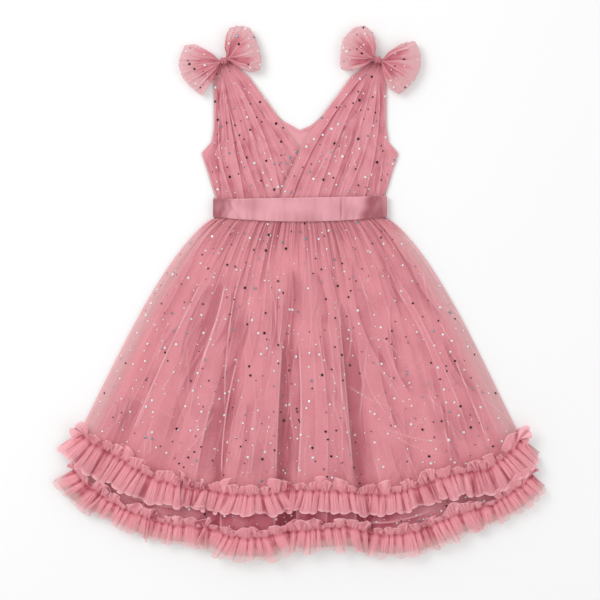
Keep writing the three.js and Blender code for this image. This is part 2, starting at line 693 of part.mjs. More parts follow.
const bodice = new THREE.Group();
bodice.add(
  raised("bodice_back_left", backPanel(-1), WALL, SPOTTED_TULLE),
  raised("bodice_back_right", backPanel(1), WALL, SPOTTED_TULLE),
  raised("neck_lining", neckLining, WALL, LINING_SATIN),
  raised("wrap_under", wrapUnder, WALL, SPOTTED_TULLE),
  raised("wrap_over", wrapOver, WALL, SPOTTED_TULLE),
);

const waist = new THREE.Group();
waist.add(sashFront(), raised("sash_back", sashBack, WALL, SATIN));

const skirt = new THREE.Group();
skirt.add(
  raised("skirt_back", skirtBack, WALL, SPOTTED_TULLE),
  raised("skirt_front", skirtFront, SKIRT_WALL, SPOTTED_TULLE),
  raised("skirt_lining", skirtLining, WALL, LINING_SATIN),
  raised("under_skirt_back", underBack, WALL, SPOTTED_TULLE),
  raised("under_skirt_front", underFront, WALL, SPOTTED_TULLE),
);

const ruffles = new THREE.Group();
ruffles.add(
  raised("ruffle_upper_front", upperRuffle, RUFFLE_WALL, PLAIN_TULLE),
  raised("ruffle_lower_front", lowerRuffle, RUFFLE_WALL, PLAIN_TULLE),
  raised("ruffle_upper_back", backRuffle(upperStitch, "frill", -BACK_HEADING + SEAM_GAP), WALL, PLAIN_TULLE),
  raised("ruffle_lower_back", backRuffle(lowerStitch, "lowFrill", -BACK_HEADING), WALL, PLAIN_TULLE),
);

const bows = new THREE.Group();
bows.add(...BOW_LOOPS.map(bowLoop), ...KNOTS.map(knot));

// The whole dress, its box centred over the middle of the surface.
const dress = new THREE.Group();
dress.name = "toddler_party_dress";
dress.add(bodice, waist, skirt, ruffles, bows);
const box = new THREE.Box3().setFromObject(dress, true);
const middle = box.getCenter(new THREE.Vector3());
dress.position.set(-middle.x, -middle.y, -box.min.z);

export default dress;
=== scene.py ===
"""The looks of a toddler's party dress of spotted tulle, laid flat on a pale floor.

The tables hold millimetres, measured from the middle of the waist, and the meshes hold metres in the
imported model's frame. X runs across the dress, Y from the hem towards the shoulders and Z up.
"""

from __future__ import annotations

import logging
import math
import sys
from collections.abc import Sequence
from dataclasses import dataclass, field
from enum import Enum

import bpy
import numpy as np
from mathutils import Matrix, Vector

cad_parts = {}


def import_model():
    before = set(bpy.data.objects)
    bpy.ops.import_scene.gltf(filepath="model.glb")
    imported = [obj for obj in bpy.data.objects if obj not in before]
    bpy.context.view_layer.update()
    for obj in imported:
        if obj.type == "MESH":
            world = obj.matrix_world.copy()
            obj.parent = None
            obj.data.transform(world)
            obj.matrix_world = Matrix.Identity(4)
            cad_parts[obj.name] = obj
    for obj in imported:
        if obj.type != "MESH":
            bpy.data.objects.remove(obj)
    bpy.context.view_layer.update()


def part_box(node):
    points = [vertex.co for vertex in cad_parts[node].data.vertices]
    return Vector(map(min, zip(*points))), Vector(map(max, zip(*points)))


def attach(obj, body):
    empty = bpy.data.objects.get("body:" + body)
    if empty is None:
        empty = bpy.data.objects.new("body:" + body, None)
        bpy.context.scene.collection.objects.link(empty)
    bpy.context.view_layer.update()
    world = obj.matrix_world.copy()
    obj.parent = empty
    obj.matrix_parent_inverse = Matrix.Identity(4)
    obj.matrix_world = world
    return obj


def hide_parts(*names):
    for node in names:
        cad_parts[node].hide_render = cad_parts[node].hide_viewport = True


LOG = logging.getLogger("dress")
MM = 0.001
BODY = "root"
CLOTH_MAP = "cloth"

Array = np.ndarray
Colour = tuple[float, float, float]


def lerp(start: Array | float, end: Array | float, share: Array | float) -> Array | float:
    """Returns the value a share of the way from start to end."""
    return start + (end - start) * share


def eased(value: Array | float, low: float, high: float) -> Array:
    """Rises smoothly from 0 to 1 between two values.

    Args:
        value: The number or numbers to ease.
        low: Where the rise starts.
        high: Where it ends.

    Returns:
        Numbers from 0 to 1.
    """
    part = np.clip((np.asarray(value, float) - low) / (high - low), 0.0, 1.0)
    return part * part * (3.0 - 2.0 * part)


def srgb(red: int, green: int, blue: int) -> Colour:
    """Turns a display colour, 0 to 255, into the linear colour that a shader holds."""
    return tuple(
        c / 12.92 if c <= 0.04045 else ((c + 0.055) / 1.055) ** 2.4
        for c in (red / 255, green / 255, blue / 255)
    )


def ripple(place: Array, count: float, seed: float) -> Array:
    """A wave of uneven spacing and height, from -1 to 1.

    Args:
        place: Where along the cloth, from 0 to 1.
        count: About how many waves there are.
        seed: Tells one wave from another.

    Returns:
        The wave at each place.
    """
    turn = 2.0 * math.pi * place
    warp = 1.3 * np.sin(turn * 5.3 + seed) + 0.9 * np.sin(turn * 11.7 + 2.1 * seed)
    swell = 0.72 + 0.28 * np.sin(turn * count * 0.31 + 3.7 * seed)
    return swell * np.sin(turn * count + warp + 1.7 * seed)


def crumple(x: Array, y: Array, size: float, seed: float) -> Array:
    """Soft dents of about one size over a surface, from -1 to 1, from a few crossing waves."""
    total = np.zeros(np.broadcast(x, y).shape)
    for index in range(5):
        angle = seed + 1.31 * index
        pitch = size * (0.7 + 0.17 * index)
        along = (x * math.cos(angle) + y * math.sin(angle)) * 2.0 * math.pi / pitch
        total += np.sin(along + 2.3 * index + seed) / 5.0
    return total


class Socket:
    """A number that varies over a surface: a shader socket with Python's operators."""

    def __init__(self, tree: bpy.types.NodeTree, socket: bpy.types.NodeSocket) -> None:
        """Holds the tree and the socket that gives the number."""
        self.tree = tree
        self.socket = socket

    def _join(self, operation: str, first: Socket | float, second: Socket | float) -> Socket:
        """Adds one Math node on two values.

        Args:
            operation: The Math node's operation.
            first: Its first value.
            second: Its second value.

        Returns:
            The node's result.
        """
        node = self.tree.nodes.new("ShaderNodeMath")
        node.operation = operation
        for index, value in enumerate((first, second)):
            if isinstance(value, Socket):
                self.tree.links.new(value.socket, node.inputs[index])
            else:
                node.inputs[index].default_value = value
        return Socket(self.tree, node.outputs[0])

    def __add__(self, other: Socket | float) -> Socket:
        """Returns self + other."""
        return self._join("ADD", self, other)

    def __radd__(self, other: float) -> Socket:
        """Returns other + self."""
        return self._join("ADD", other, self)

    def __sub__(self, other: Socket | float) -> Socket:
        """Returns self - other."""
        return self._join("SUBTRACT", self, other)

    def __rsub__(self, other: float) -> Socket:
        """Returns other - self."""
        return self._join("SUBTRACT", other, self)

    def __mul__(self, other: Socket | float) -> Socket:
        """Returns self * other."""
        return self._join("MULTIPLY", self, other)

    def __rmul__(self, other: float) -> Socket:
        """Returns other * self."""
        return self._join("MULTIPLY", other, self)

    def clamped(self, low: float, high: float) -> Socket:
        """Returns the number kept between two values."""
        return self._join("MINIMUM", self._join("MAXIMUM", self, low), high)

    def band(self, low: float, high: float) -> Socket:
        """Returns 0 at low and 1 at high, with a smooth step between them."""
        node = self.tree.nodes.new("ShaderNodeMapRange")
        node.interpolation_type = "SMOOTHSTEP"
        self.tree.links.new(self.socket, node.inputs["Value"])
        node.inputs["From Min"].default_value = low
        node.inputs["From Max"].default_value = high
        return Socket(self.tree, node.outputs["Result"])


class Shader:
    """One material's node tree, with a method that makes any node."""

    def __init__(self, name: str) -> None:
        """Starts a material that holds a Principled shader and its output."""
        self.material = bpy.data.materials.new(name)
        self.material.use_nodes = True
        self.tree = self.material.node_tree
        self.tree.nodes.clear()
        self.surface = self.node("ShaderNodeBsdfPrincipled")
        output = self.node("ShaderNodeOutputMaterial")
        self.tree.links.new(self.surface.outputs["BSDF"], output.inputs["Surface"])

    def node(
        self,
        kind: str,
        settings: dict[str, object] | None = None,
        inputs: dict[str, object] | None = None,
    ) -> bpy.types.Node:
        """Makes one node.

        Args:
            kind: The node's type.
            settings: Its own settings, which are set first.
            inputs: Values, sockets or Sockets for its inputs, by name or index.

        Returns:
            The node.
        """
        made = self.tree.nodes.new(kind)
        for key, value in (settings or {}).items():
            setattr(made, key, value)
        for key, value in (inputs or {}).items():
            self.feed(made.inputs[key], value)
        return made

    def feed(self, target: bpy.types.NodeSocket, value: object) -> None:
        """Links or sets one input socket."""
        source = value.socket if isinstance(value, Socket) else value
        if isinstance(source, bpy.types.NodeSocket):
            self.tree.links.new(source, target)
        else:
            target.default_value = source

    def dress(self, **inputs: object) -> None:
        """Sets the Principled shader's inputs, with underscores for the spaces in their names."""
        for key, value in inputs.items():
            self.feed(self.surface.inputs[key.replace("_", " ")], value)

    def painted(self, name: str) -> Socket:
        """Returns a piece's own painted attribute."""
        node = self.node("ShaderNodeAttribute", {"attribute_name": name})
        return Socket(self.tree, node.outputs["Fac"])

    def cloth_place(self) -> tuple[Socket, Socket, bpy.types.NodeSocket]:
        """Returns the place across and along the cloth, in metres, and both as a vector."""
        uv = self.node("ShaderNodeUVMap", {"uv_map": CLOTH_MAP}).outputs["UV"]
        parts = self.node("ShaderNodeSeparateXYZ", inputs={"Vector": uv})
        return Socket(self.tree, parts.outputs["X"]), Socket(self.tree, parts.outputs["Y"]), uv

    def vector(self, x: Socket, y: Socket) -> bpy.types.NodeSocket:
        """Joins two numbers into a vector."""
        return self.node("ShaderNodeCombineXYZ", inputs={"X": x, "Y": y}).outputs["Vector"]

    def noise(self, place: bpy.types.NodeSocket, scale: float, detail: float = 2.0) -> Socket:
        """Returns a cloudy number from 0 to 1 over a place vector."""
        inputs = {"Vector": place, "Scale": scale, "Detail": detail}
        node = self.node("ShaderNodeTexNoise", {"noise_dimensions": "2D"}, inputs)
        return Socket(self.tree, node.outputs[0])

    def mixed(self, share: Socket, first: object, second: object) -> bpy.types.NodeSocket:
        """Mixes two colours by a share."""
        node = self.node("ShaderNodeMix", {"data_type": "RGBA"})
        self.feed(node.inputs[0], share)
        for index, value in ((6, first), (7, second)):
            self.feed(node.inputs[index], (*value, 1.0) if isinstance(value, tuple) else value)
        return node.outputs[2]

    def bumped(self, height: Socket, depth: float, strength: float) -> bpy.types.NodeSocket:
        """Returns the normal of a surface that is raised by a height."""
        inputs = {"Height": height, "Distance": depth, "Strength": strength}
        return self.node("ShaderNodeBump", inputs=inputs).outputs["Normal"]


@dataclass(frozen=True)
class TulleFinish:
    """Soft sheer net, more opaque in its valleys, with painted shade in the valleys, painted highlights
    along its creases and a greyish painted shadow where the floor shows through its sheer parts.
    """

    name: str
    # The first colour is the lit net, the second its painted shade, the third its painted highlight, which
    # also paints pale see-through edges.
    light: Colour
    shaded_colour: Colour
    pale: Colour
    cover: float
    # A greyish colour for the sheer parts: painted shadow of the floor seen through the net.
    thin: Colour = (0.72, 0.47, 0.44)
    valley_cover: float = 0.3
    crest_cover: float = 0.14
    streak: float = 0.16
    line: float = 0.14
    line_scale: float = 90.0
    along_scale: float = 3.0
    grain: float = 0.3

    def build(self) -> bpy.types.Material:
        """Returns the material."""
        shader = Shader(self.name)
        across, along, place = shader.cloth_place()
        # Each piece's painted shade, its painted highlights and pale edges, and how see-through it is.
        painted_shade = shader.painted("painted_shade")
        highlight_and_pale_edge = shader.painted("highlight_and_pale_edge")
        sheer = shader.painted("sheer")
        stretched = shader.vector(across * self.line_scale, along * self.along_scale)
        streaks = shader.noise(stretched, 0.45, 3.0)
        lines = shader.noise(stretched, 1.0, 1.0)
        thin = (lines - 0.5).clamped(-0.5, 0.5)
        broken = shader.noise(shader.vector(across * 60.0, along * 14.0), 1.0).band(0.42, 0.6)
        # Thin broken pale lines: painted highlights of fine creases in the net.
        crease = (1.0 - (thin * thin).band(0.0, 0.0007)) * broken
        clouds = (shader.noise(place, 38.0, 2.0) - 0.5) * 0.25
        grain = (shader.noise(place, 330.0, 2.0) - 0.5) * self.grain
        # Painted shade from the piece's shade attribute, with random streaks, clouds and grain.
        depth = (painted_shade + (streaks - 0.5) * self.streak + clouds + grain).clamped(0.0, 1.0)
        colour = shader.mixed(depth, self.light, self.shaded_colour)
        # Painted highlight from the piece's highlight attribute and the fine crease lines.
        bright = (highlight_and_pale_edge + crease * self.line * (1.0 - depth * 0.5)).clamped(0.0, 1.0)
        colour = shader.mixed(bright, colour, self.pale)
        # Sheer parts are mixed towards the greyish colour: painted shadow of the floor under the net.
        see_through_tint = ((sheer - 0.15) * 2.4).clamped(0.0, 0.8)
        colour = shader.mixed(see_through_tint, colour, self.thin)
        cover = self.cover + painted_shade * self.valley_cover + bright * self.crest_cover - sheer
        cover = cover.clamped(0.06, 1.0)
        net = shader.node(
            "ShaderNodeTexVoronoi", {"feature": "DISTANCE_TO_EDGE"}, {"Vector": place, "Scale": 900.0}
        )
        mesh_height = Socket(shader.tree, net.outputs["Distance"])
        normal = shader.bumped(mesh_height + streaks * 1.5, 0.0006, 0.35)
        shader.dress(
            Base_Color=colour,
            Alpha=cover,
            Normal=normal,
            Roughness=0.72,
            Sheen_Weight=0.25,
            Sheen_Roughness=0.5,
            Specular_IOR_Level=0.25,
        )
        return shader.material


@dataclass(frozen=True)
class SatinFinish:
    """Smooth ribbon or lining satin with fine threads across it, mixed towards a darker colour by its
    painted shade.
    """

    name: str
    light: Colour
    shaded_colour: Colour
    roughness: float
    thread: float = 0.25

    def build(self) -> bpy.types.Material:
        """Returns the material."""
        shader = Shader(self.name)
        across, along, place = shader.cloth_place()
        painted_shade = shader.painted("painted_shade")
        clouds = shader.noise(place, 30.0, 3.0)
        threads = shader.noise(shader.vector(across * 2600.0, along * 300.0), 1.0, 1.0)
        # Painted shade from the piece's shade attribute, with soft random clouds.
        depth = (painted_shade + (clouds - 0.5) * 0.22).clamped(0.0, 1.0)
        colour = shader.mixed(depth, self.light, self.shaded_colour)
        rough = self.roughness + (threads - 0.5) * 0.12 + (clouds - 0.5) * 0.1
        normal = shader.bumped(threads + clouds * 2.0, 0.0002, self.thread)
        shader.dress(
            Base_Color=colour,
            Roughness=rough.clamped(0.15, 0.9),
            Normal=normal,
            Sheen_Weight=0.15,
            Specular_IOR_Level=0.55,
        )
        return shader.material


class Foil(Enum):
    """How a foil spot takes the light: one silver foil painted bright, grey or dark, as painted
    reflections.
    """

    BRIGHT = ("foil_painted_bright_reflection", (248, 250, 252), 0.35, 0.15)
    GREY = ("foil_painted_grey_reflection", (150, 164, 174), 0.3, 0.6)
    DARK = ("foil_painted_dark_reflection", (24, 28, 34), 0.25, 0.4)

    def build(self) -> bpy.types.Material:
        """Returns the material of this kind of spot."""
        name, colour, roughness, metal = self.value
        shader = Shader(name)
        place = shader.node("ShaderNodeTexCoord").outputs["Object"]
        cloud = shader.noise(place, 900.0, 1.0)
        base = srgb(*colour)
        dull = tuple(c * 0.6 for c in base)
        shader.dress(
            Base_Color=shader.mixed(cloud.band(0.35, 0.65), dull, base),
            Metallic=metal,
            Roughness=roughness,
        )
        return shader.material


@dataclass(frozen=True)
class FloorFinish:
    """A plain pale floor."""

    colour: Colour = (0.93, 0.93, 0.93)

    def build(self) -> bpy.types.Material:
        """Returns the material."""
        shader = Shader("pale_floor")
        shader.dress(Base_Color=(*self.colour, 1.0), Roughness=0.9, Specular_IOR_Level=0.1)
        return shader.material


class Slot(Enum):
    """The cloth finishes, one named on each sheet."""

    SPOTTED = "spotted_tulle"
    PLAIN = "plain_tulle"
    SATIN = "satin"
    LINING = "lining"


class Held(Enum):
    """How a piece of cloth is held in place."""

    GATHERED = "gathered"
    LAID = "laid"
    FOLDED = "folded"
    STRETCHED = "stretched"


@dataclass
class Cut:
    """How a piece of cloth was cut before it was sewn, in metres."""

    width: float
    length: float
    held: Held
    area: float | None = None
    rests_on: tuple[str, ...] = ()


@dataclass
class Sheet:
    """A sheet of cloth on a grid of points, with its place on the cloth and its painted values."""

    name: str
    node: str
    slot: Slot
    points: Array
    cloth: Array
    cut: Cut
    faces_up: bool = True
    paint: dict[str, Array] = field(default_factory=dict)

    def build(self, finish: bpy.types.Material) -> bpy.types.Object:
        """Makes the mesh, smooth, with its cloth map and painted values.

        Args:
            finish: The cloth's material.

        Returns:
            The new object, which stands for its node.
        """
        rows, columns = self.points.shape[:2]
        index = np.arange(rows * columns).reshape(rows, columns)
        quads = np.stack([index[:-1, :-1], index[1:, :-1], index[1:, 1:], index[:-1, 1:]], axis=-1)
        quads = quads.reshape(-1, 4)
        flat = self.points.reshape(-1, 3)
        first = quads[: max(1, len(quads) // 4)]
        across = flat[first[:, 2]] - flat[first[:, 0]]
        down = flat[first[:, 3]] - flat[first[:, 1]]
        if (np.cross(across, down)[:, 2].sum() > 0) != self.faces_up:
            quads = quads[:, ::-1]
        mesh = bpy.data.meshes.new(self.name)
        mesh.vertices.add(len(flat))
        mesh.vertices.foreach_set("co", flat.ravel())
        mesh.loops.add(quads.size)
        mesh.loops.foreach_set("vertex_index", quads.ravel())
        mesh.polygons.add(len(quads))
        mesh.polygons.foreach_set("loop_start", np.arange(0, quads.size, 4))
        mesh.update(calc_edges=True)
        mesh.polygons.foreach_set("use_smooth", np.ones(len(quads), bool))
        uv = mesh.uv_layers.new(name=CLOTH_MAP)
        uv.data.foreach_set("uv", self.cloth.reshape(-1, 2)[quads.ravel()].ravel())
        for key in ("painted_shade", "highlight_and_pale_edge", "sheer"):
            values = np.broadcast_to(self.paint.get(key, np.zeros(1)), (rows, columns))
            layer = mesh.attributes.new(key, "FLOAT", "POINT")
            layer.data.foreach_set("value", np.ascontiguousarray(values, dtype=np.float32).ravel())
        mesh.materials.append(finish)
        mesh.validate()
        piece = bpy.data.objects.new(self.name, mesh)
        bpy.context.scene.collection.objects.link(piece)
        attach(piece, BODY)
        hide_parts(self.node)
        return piece


def hollow_shade(height: Array, reach: int, depth: float) -> Array:
    """Paints shade by how far each point of a cloth grid lies below its neighbours across the cloth.

    Args:
        height: Heights, rows by columns.
        reach: How many columns to either side count as neighbours.
        depth: The depth that counts as a full valley, in the heights' unit.

    Returns:
        Values from 0 on ridges to 1 in full valleys, used as painted shade.
    """
    padded = np.pad(height, ((0, 0), (reach, reach)), mode="edge")
    sums = np.cumsum(np.pad(padded, ((0, 0), (1, 0))), axis=1)
    width = 2 * reach + 1
    mean = (sums[:, width:] - sums[:, :-width]) / width
    return np.clip(0.35 + (mean - height) / depth, 0.0, 1.0)


@dataclass(frozen=True)
class Fold:
    """One side, top or bottom of a large skirt fold, in millimetres."""

    seam_x: float
    seam_y: float
    frill: float
    low_x: float
    low_y: float
    low_frill: float
    lift: float
    lean: float = 0.0


FOLDS = (
    Fold(-277, -264, 30, -283, -309, 30, 0, 0),
    Fold(-267, -273, 34, -273, -326, 30, 4, -7),
    Fold(-249, -284, 37, -252, -342, 29, 6, -2),
    Fold(-230, -294, 36, -235, -353, 20, 2, 4),
    Fold(-207, -309, 33, -215, -363, 23, 7, -4),
    Fold(-181, -324, 30, -192, -372, 25, 2, 3),
    Fold(-147, -332, 25, -159, -381, 23, 8, 0),
    Fold(-121, -337, 24, -125, -383, 25, 6, 4),
    Fold(-104, -339, 22, -101, -388, 24, 1, 0),
    Fold(-91, -341, 25, -90, -394, 29, 12, -17),
    Fold(-62, -342, 24, -62, -397, 27, 14, -2),
    Fold(-36, -342, 24, -35, -394, 31, 12, 13),
    Fold(-20, -338, 22, -17, -388, 15, 0, 0),
    Fold(-2, -336, 27, 0, -388, 27, 11, -13),
    Fold(34, -337, 25, 32, -384, 28, 14, 2),
    Fold(65, -339, 25, 65, -382, 28, 12, 15),
    Fold(79, -343, 22, 82, -391, 25, 1, 0),
    Fold(110, -343, 24, 112, -394, 27, 8, -5),
    Fold(144, -334, 25, 147, -389, 28, 6, 0),
    Fold(177, -321, 26, 180, -373, 30, 9, 8),
    Fold(204, -316, 27, 210, -364, 26, 2, 0),
    Fold(230, -313, 30, 237, -357, 24, 6, -4),
    Fold(254, -297, 33, 264, -341, 26, 2, 0),
    Fold(268, -284, 34, 280, -329, 26, 4, 3),
    Fold(277, -271, 33, 291, -316, 25, 0, 0),
)


@dataclass(frozen=True)
class Crease:
    """A fold line in the cloth through three places, in millimetres from the waist.

    Its painted shade lies to the right of it, or above a level one, where side is 1, and on the other side
    where it is -1, and fades over the reach. A thin painted highlight runs along the line.
    """

    start_x: float
    start_y: float
    mid_x: float
    mid_y: float
    end_x: float
    end_y: float
    # shade is the strength of the painted shade beside the line, and the last field that of its painted
    # highlight.
    rise: float = 0.8
    shade: float = 0.3
    side: int = 1
    reach: float = 9.0
    pale: float = 0.5

    def measure(self, x: Array, y: Array) -> tuple[Array, Array]:
        """Finds how far along the crease and how far to its shaded side each point lies.

        Args:
            x: The points' places across the dress.
            y: Their places up the dress.

        Returns:
            The share of the way along, and the distance in millimetres.
        """
        level = abs(self.end_x - self.start_x) > abs(self.end_y - self.start_y)
        run, across = (x, y) if level else (y, x)
        runs = np.array([self.start_x, self.mid_x, self.end_x], float)
        sides = np.array([self.start_y, self.mid_y, self.end_y], float)
        if not level:
            runs, sides = sides, runs
        span = runs[2] - runs[0]
        middle = (runs[1] - runs[0]) / span
        share = (run - runs[0]) / span
        held = np.clip(share, -0.1, 1.1)
        bend = (sides[1] - lerp(sides[0], sides[2], middle)) / (middle * (middle - 1))
        line = lerp(sides[0], sides[2], held) + bend * held * (held - 1)
        slope = (sides[2] - sides[0] + bend * (2 * held - 1)) / span
        return share, (across - line) * self.side / np.sqrt(1 + slope * slope)


@dataclass(frozen=True)
class Wisps:
    """Short faint creases strewn over a part of the cloth, all running away from one place."""

    count: int
    seed: int
    left: float
    right: float
    low: float
    high: float
    from_x: float
    from_y: float
    longest: float
    turned: float = 0.2
    reach: float = 6.0
    darkest: float = 0.3

    def strew(self) -> tuple[Crease, ...]:
        """Returns the creases."""
        chance = np.random.default_rng(self.seed)
        made = []
        for _ in range(self.count):
            x, y = chance.uniform(self.left, self.right), chance.uniform(self.low, self.high)
            angle = math.atan2(y - self.from_y, x - self.from_x) + chance.normal(0, self.turned)
            run = chance.uniform(0.25, 1.0) * self.longest
            go_x, go_y = run * math.cos(angle), run * math.sin(angle)
            bend = chance.normal(0, 0.05)
            mid_x, mid_y = x + go_x / 2 - bend * go_y, y + go_y / 2 + bend * go_x
            side = int(chance.choice([-1, 1]))
            # Each wisp's painted shade and painted highlight strength.
            shade, pale = chance.uniform(0.06, self.darkest), chance.uniform(0.1, 0.5)
            end_x, end_y = x + go_x, y + go_y
            made.append(Crease(x, y, mid_x, mid_y, end_x, end_y, 0.3, shade, side, self.reach, pale))
        return tuple(made)


def press(
    creases: Sequence[Crease], x: Array, y: Array, fine: float = 0.75, soft: float = 1.0
) -> tuple[Array, Array, Array]:
    """Presses a table of creases into a sheet.

    Args:
        creases: The creases.
        x: The sheet's points across the dress, in millimetres from the waist.
        y: Its points up the dress.
        fine: Half the width of the painted highlight line on each crease.
        soft: How many times its reach each shade is spread over.

    Returns:
        The height that they add, their painted shade and their painted highlight lines.
    """
    rise, shade, pale = (np.zeros(x.shape) for _ in range(3))
    for crease in creases:
        share, off = crease.measure(x, y)
        shown = eased(share, -0.03, 0.14) * (1 - eased(share, 0.84, 1.03))
        reach = crease.reach
        steep = np.where(off > 0, off / 1.1, off / (0.3 * reach))
        rise += crease.rise * shown * np.exp(-(steep**2))
        fading = np.exp(-np.maximum(off, 0) / (0.5 * reach * soft)) * eased(off, -0.6, 0.9)
        shade += crease.shade * shown * fading
        pale += crease.pale * shown * np.exp(-(((off + 0.35 * fine) / fine) ** 2))
    return rise, shade, pale


SKIRT_CREASES = (
    Crease(-172, -101, -202, -148, -248, -248, 0.7, 0.12, 1, 14, 0.45),
    Crease(-116, -63, -163, -160, -215, -278, 1.2, 0.5, -1, 9, 0.8),
    Crease(-184, -214, -196, -242, -205, -264, 0.7, 0.2, 1, 6, 0.45),
    Crease(-89, -63, -124, -183, -165, -281, 0.9, 0.34, -1, 14, 0.6),
    Crease(-74, -63, -91, -159, -93, -250, 0.9, 0.75, -1, 5.5, 0.6),
    Crease(-66, -50, -80, -92, -88, -140, 0.8, 0.6, 1, 5, 0.2),
    Crease(-75, -163, -89, -221, -98, -330, 1.3, 0.7, -1, 15, 0.85),
    Crease(-96, -184, -106, -219, -121, -281, 0.8, 0.35, 1, 13, 0.25),
    Crease(-110, -229, -124, -290, -131, -335, 0.9, 0.45, 1, 16, 0.5),
    Crease(-67, -228, -72, -254, -78, -275, 0.6, 0.25, 1, 7, 0.2),
    Crease(-22, -150, -27, -239, -30, -335, 1.4, 0.95, 1, 12, 0.9),
    Crease(-33, -166, -39, -201, -45, -224, 0.6, 0.2, -1, 7, 0.4),
    Crease(-30, -243, -34, -262, -40, -277, 0.5, 0.15, -1, 5, 0.4),
    Crease(-17, -163, -13, -213, -22, -285, 0.7, 0.3, 1, 5, 0.6),
    Crease(-5, -163, -12, -213, -5, -285, 0.7, 0.3, -1, 5, 0.5),
    Crease(-10, -62, -11, -126, -20, -182, 0.9, 0.65, 1, 9, 0.35),
    Crease(-23, -80, -22, -120, -27, -160, 0.7, 0.3, 1, 6, 0.4),
    Crease(-2, -150, 1, -224, -4, -332, 1.3, 0.6, -1, 9, 0.8),
    Crease(18, -120, 33, -224, 32, -332, 0.9, 0.4, 1, 8, 0.5),
    Crease(49, -163, 52, -224, 52, -330, 0.8, 0.25, 1, 6, 0.5),
    Crease(34, -58, 44, -90, 49, -125, 0.8, 0.5, 1, 7, 0.3),
    Crease(48, -104, 57, -209, 67, -332, 1.4, 0.95, 1, 17, 0.8),
    Crease(112, -98, 113, -148, 120, -193, 0.8, 0.36, 1, 11, 0.5),
    Crease(110, -72, 150, -139, 186, -281, 0.9, 0.3, -1, 10, 0.55),
    Crease(122, -72, 172, -169, 212, -270, 0.9, 0.38, 1, 12, 0.5),
    Crease(175, -225, 181, -262, 190, -302, 0.9, 0.3, 1, 9, 0.6),
    Crease(194, -238, 204, -272, 213, -304, 0.7, 0.32, 1, 10, 0.3),
    Crease(189, -165, 204, -202, 238, -290, 1.0, 0.25, -1, 9, 0.8),
    Crease(168, -80, 210, -169, 256, -274, 0.7, 0.12, -1, 14, 0.4),
    Crease(-150, -50, -178, -92, -205, -150, 0.6, 0.2, 1, 10, 0.35),
    Crease(-128, -40, -150, -82, -176, -130, 0.7, 0.3, 1, 8, 0.45),
    Crease(138, -42, 158, -80, 176, -118, 0.7, 0.25, -1, 9, 0.4),
    Crease(88, -40, 100, -80, 112, -122, 0.7, 0.3, 1, 8, 0.4),
    Crease(72, -150, 76, -210, 84, -300, 0.8, 0.35, -1, 11, 0.2),
    Crease(128, -230, 132, -270, 140, -312, 0.7, 0.3, 1, 10, 0.3),
    Crease(-230, -228, -242, -252, -250, -268, 0.6, 0.3, 1, 8, 0.4),
    Crease(-146, -200, -158, -240, -172, -285, 0.6, 0.25, 1, 10, 0.3),
)
VEIL_CREASES = (
    Crease(-100, -50, -130, -120, -152, -200, 0.5, 0.12, 1, 7, 0.35),
    Crease(-52, -40, -62, -100, -60, -170, 0.5, 0.15, 1, 7, 0.4),
    Crease(-40, -50, -36, -110, -40, -185, 0.4, 0.12, -1, 6, 0.4),
    Crease(-58, -190, -55, -250, -66, -330, 0.4, 0.1, 1, 6, 0.3),
    Crease(10, -40, 14, -110, 12, -180, 0.5, 0.15, 1, 7, 0.35),
    Crease(51, -98, 64, -143, 58, -180, 0.5, 0.12, 1, 6, 0.45),
    Crease(85, -148, 81, -184, 75, -248, 0.5, 0.1, 1, 6, 0.6),
    Crease(85, -150, 110, -155, 124, -172, 0.4, 0.08, -1, 5, 0.45),
    Crease(58, -207, 85, -223, 120, -236, 0.5, 0.1, -1, 6, 0.5),
    Crease(97, -257, 129, -269, 184, -277, 0.6, 0.12, -1, 7, 0.55),
    Crease(104, -262, 140, -282, 192, -296, 0.4, 0.1, -1, 6, 0.35),
    Crease(134, -272, 148, -252, 156, -240, 0.4, 0.1, 1, 5, 0.4),
    Crease(124, -196, 137, -184, 150, -176, 0.4, 0.1, 1, 5, 0.4),
    Crease(154, -63, 170, -121, 196, -160, 0.5, 0.12, 1, 7, 0.4),
    Crease(176, -120, 190, -165, 205, -190, 0.4, 0.15, 1, 7, 0.35),
    Crease(-165, -130, -190, -190, -222, -250, 0.4, 0.12, 1, 7, 0.35),
    Crease(-148, -252, -190, -230, -226, -214, 0.4, 0.06, 1, 5, 0.3),
    Crease(-137, -215, -120, -208, -95, -212, 0.4, 0.06, 1, 5, 0.25),
    Crease(62, -40, 80, -90, 92, -140, 0.4, 0.12, -1, 6, 0.35),
    Crease(36, -130, 42, -190, 40, -260, 0.4, 0.1, 1, 5, 0.35),
    Crease(-46, -240, -58, -290, -62, -325, 0.4, 0.1, -1, 6, 0.35),
    Crease(126, -300, 122, -320, 116, -330, 0.4, 0.12, 1, 6, 0.4),
    Crease(150, -160, 158, -200, 172, -250, 0.5, 0.15, 1, 8, 0.35),
    Crease(216, -200, 232, -236, 248, -270, 0.4, 0.1, -1, 6, 0.3),
)
SKIRT_WISPS = Wisps(70, 61, -230, 230, -300, -30, 0, 150, 90, 0.1, 6, 0.42)
SKIRT_PLEATS = Wisps(46, 65, -215, 215, -230, -25, 0, 190, 170, 0.05, 13, 0.6)
VEIL_WISPS = Wisps(90, 62, -230, 230, -310, -30, 0, 150, 70, 0.3)
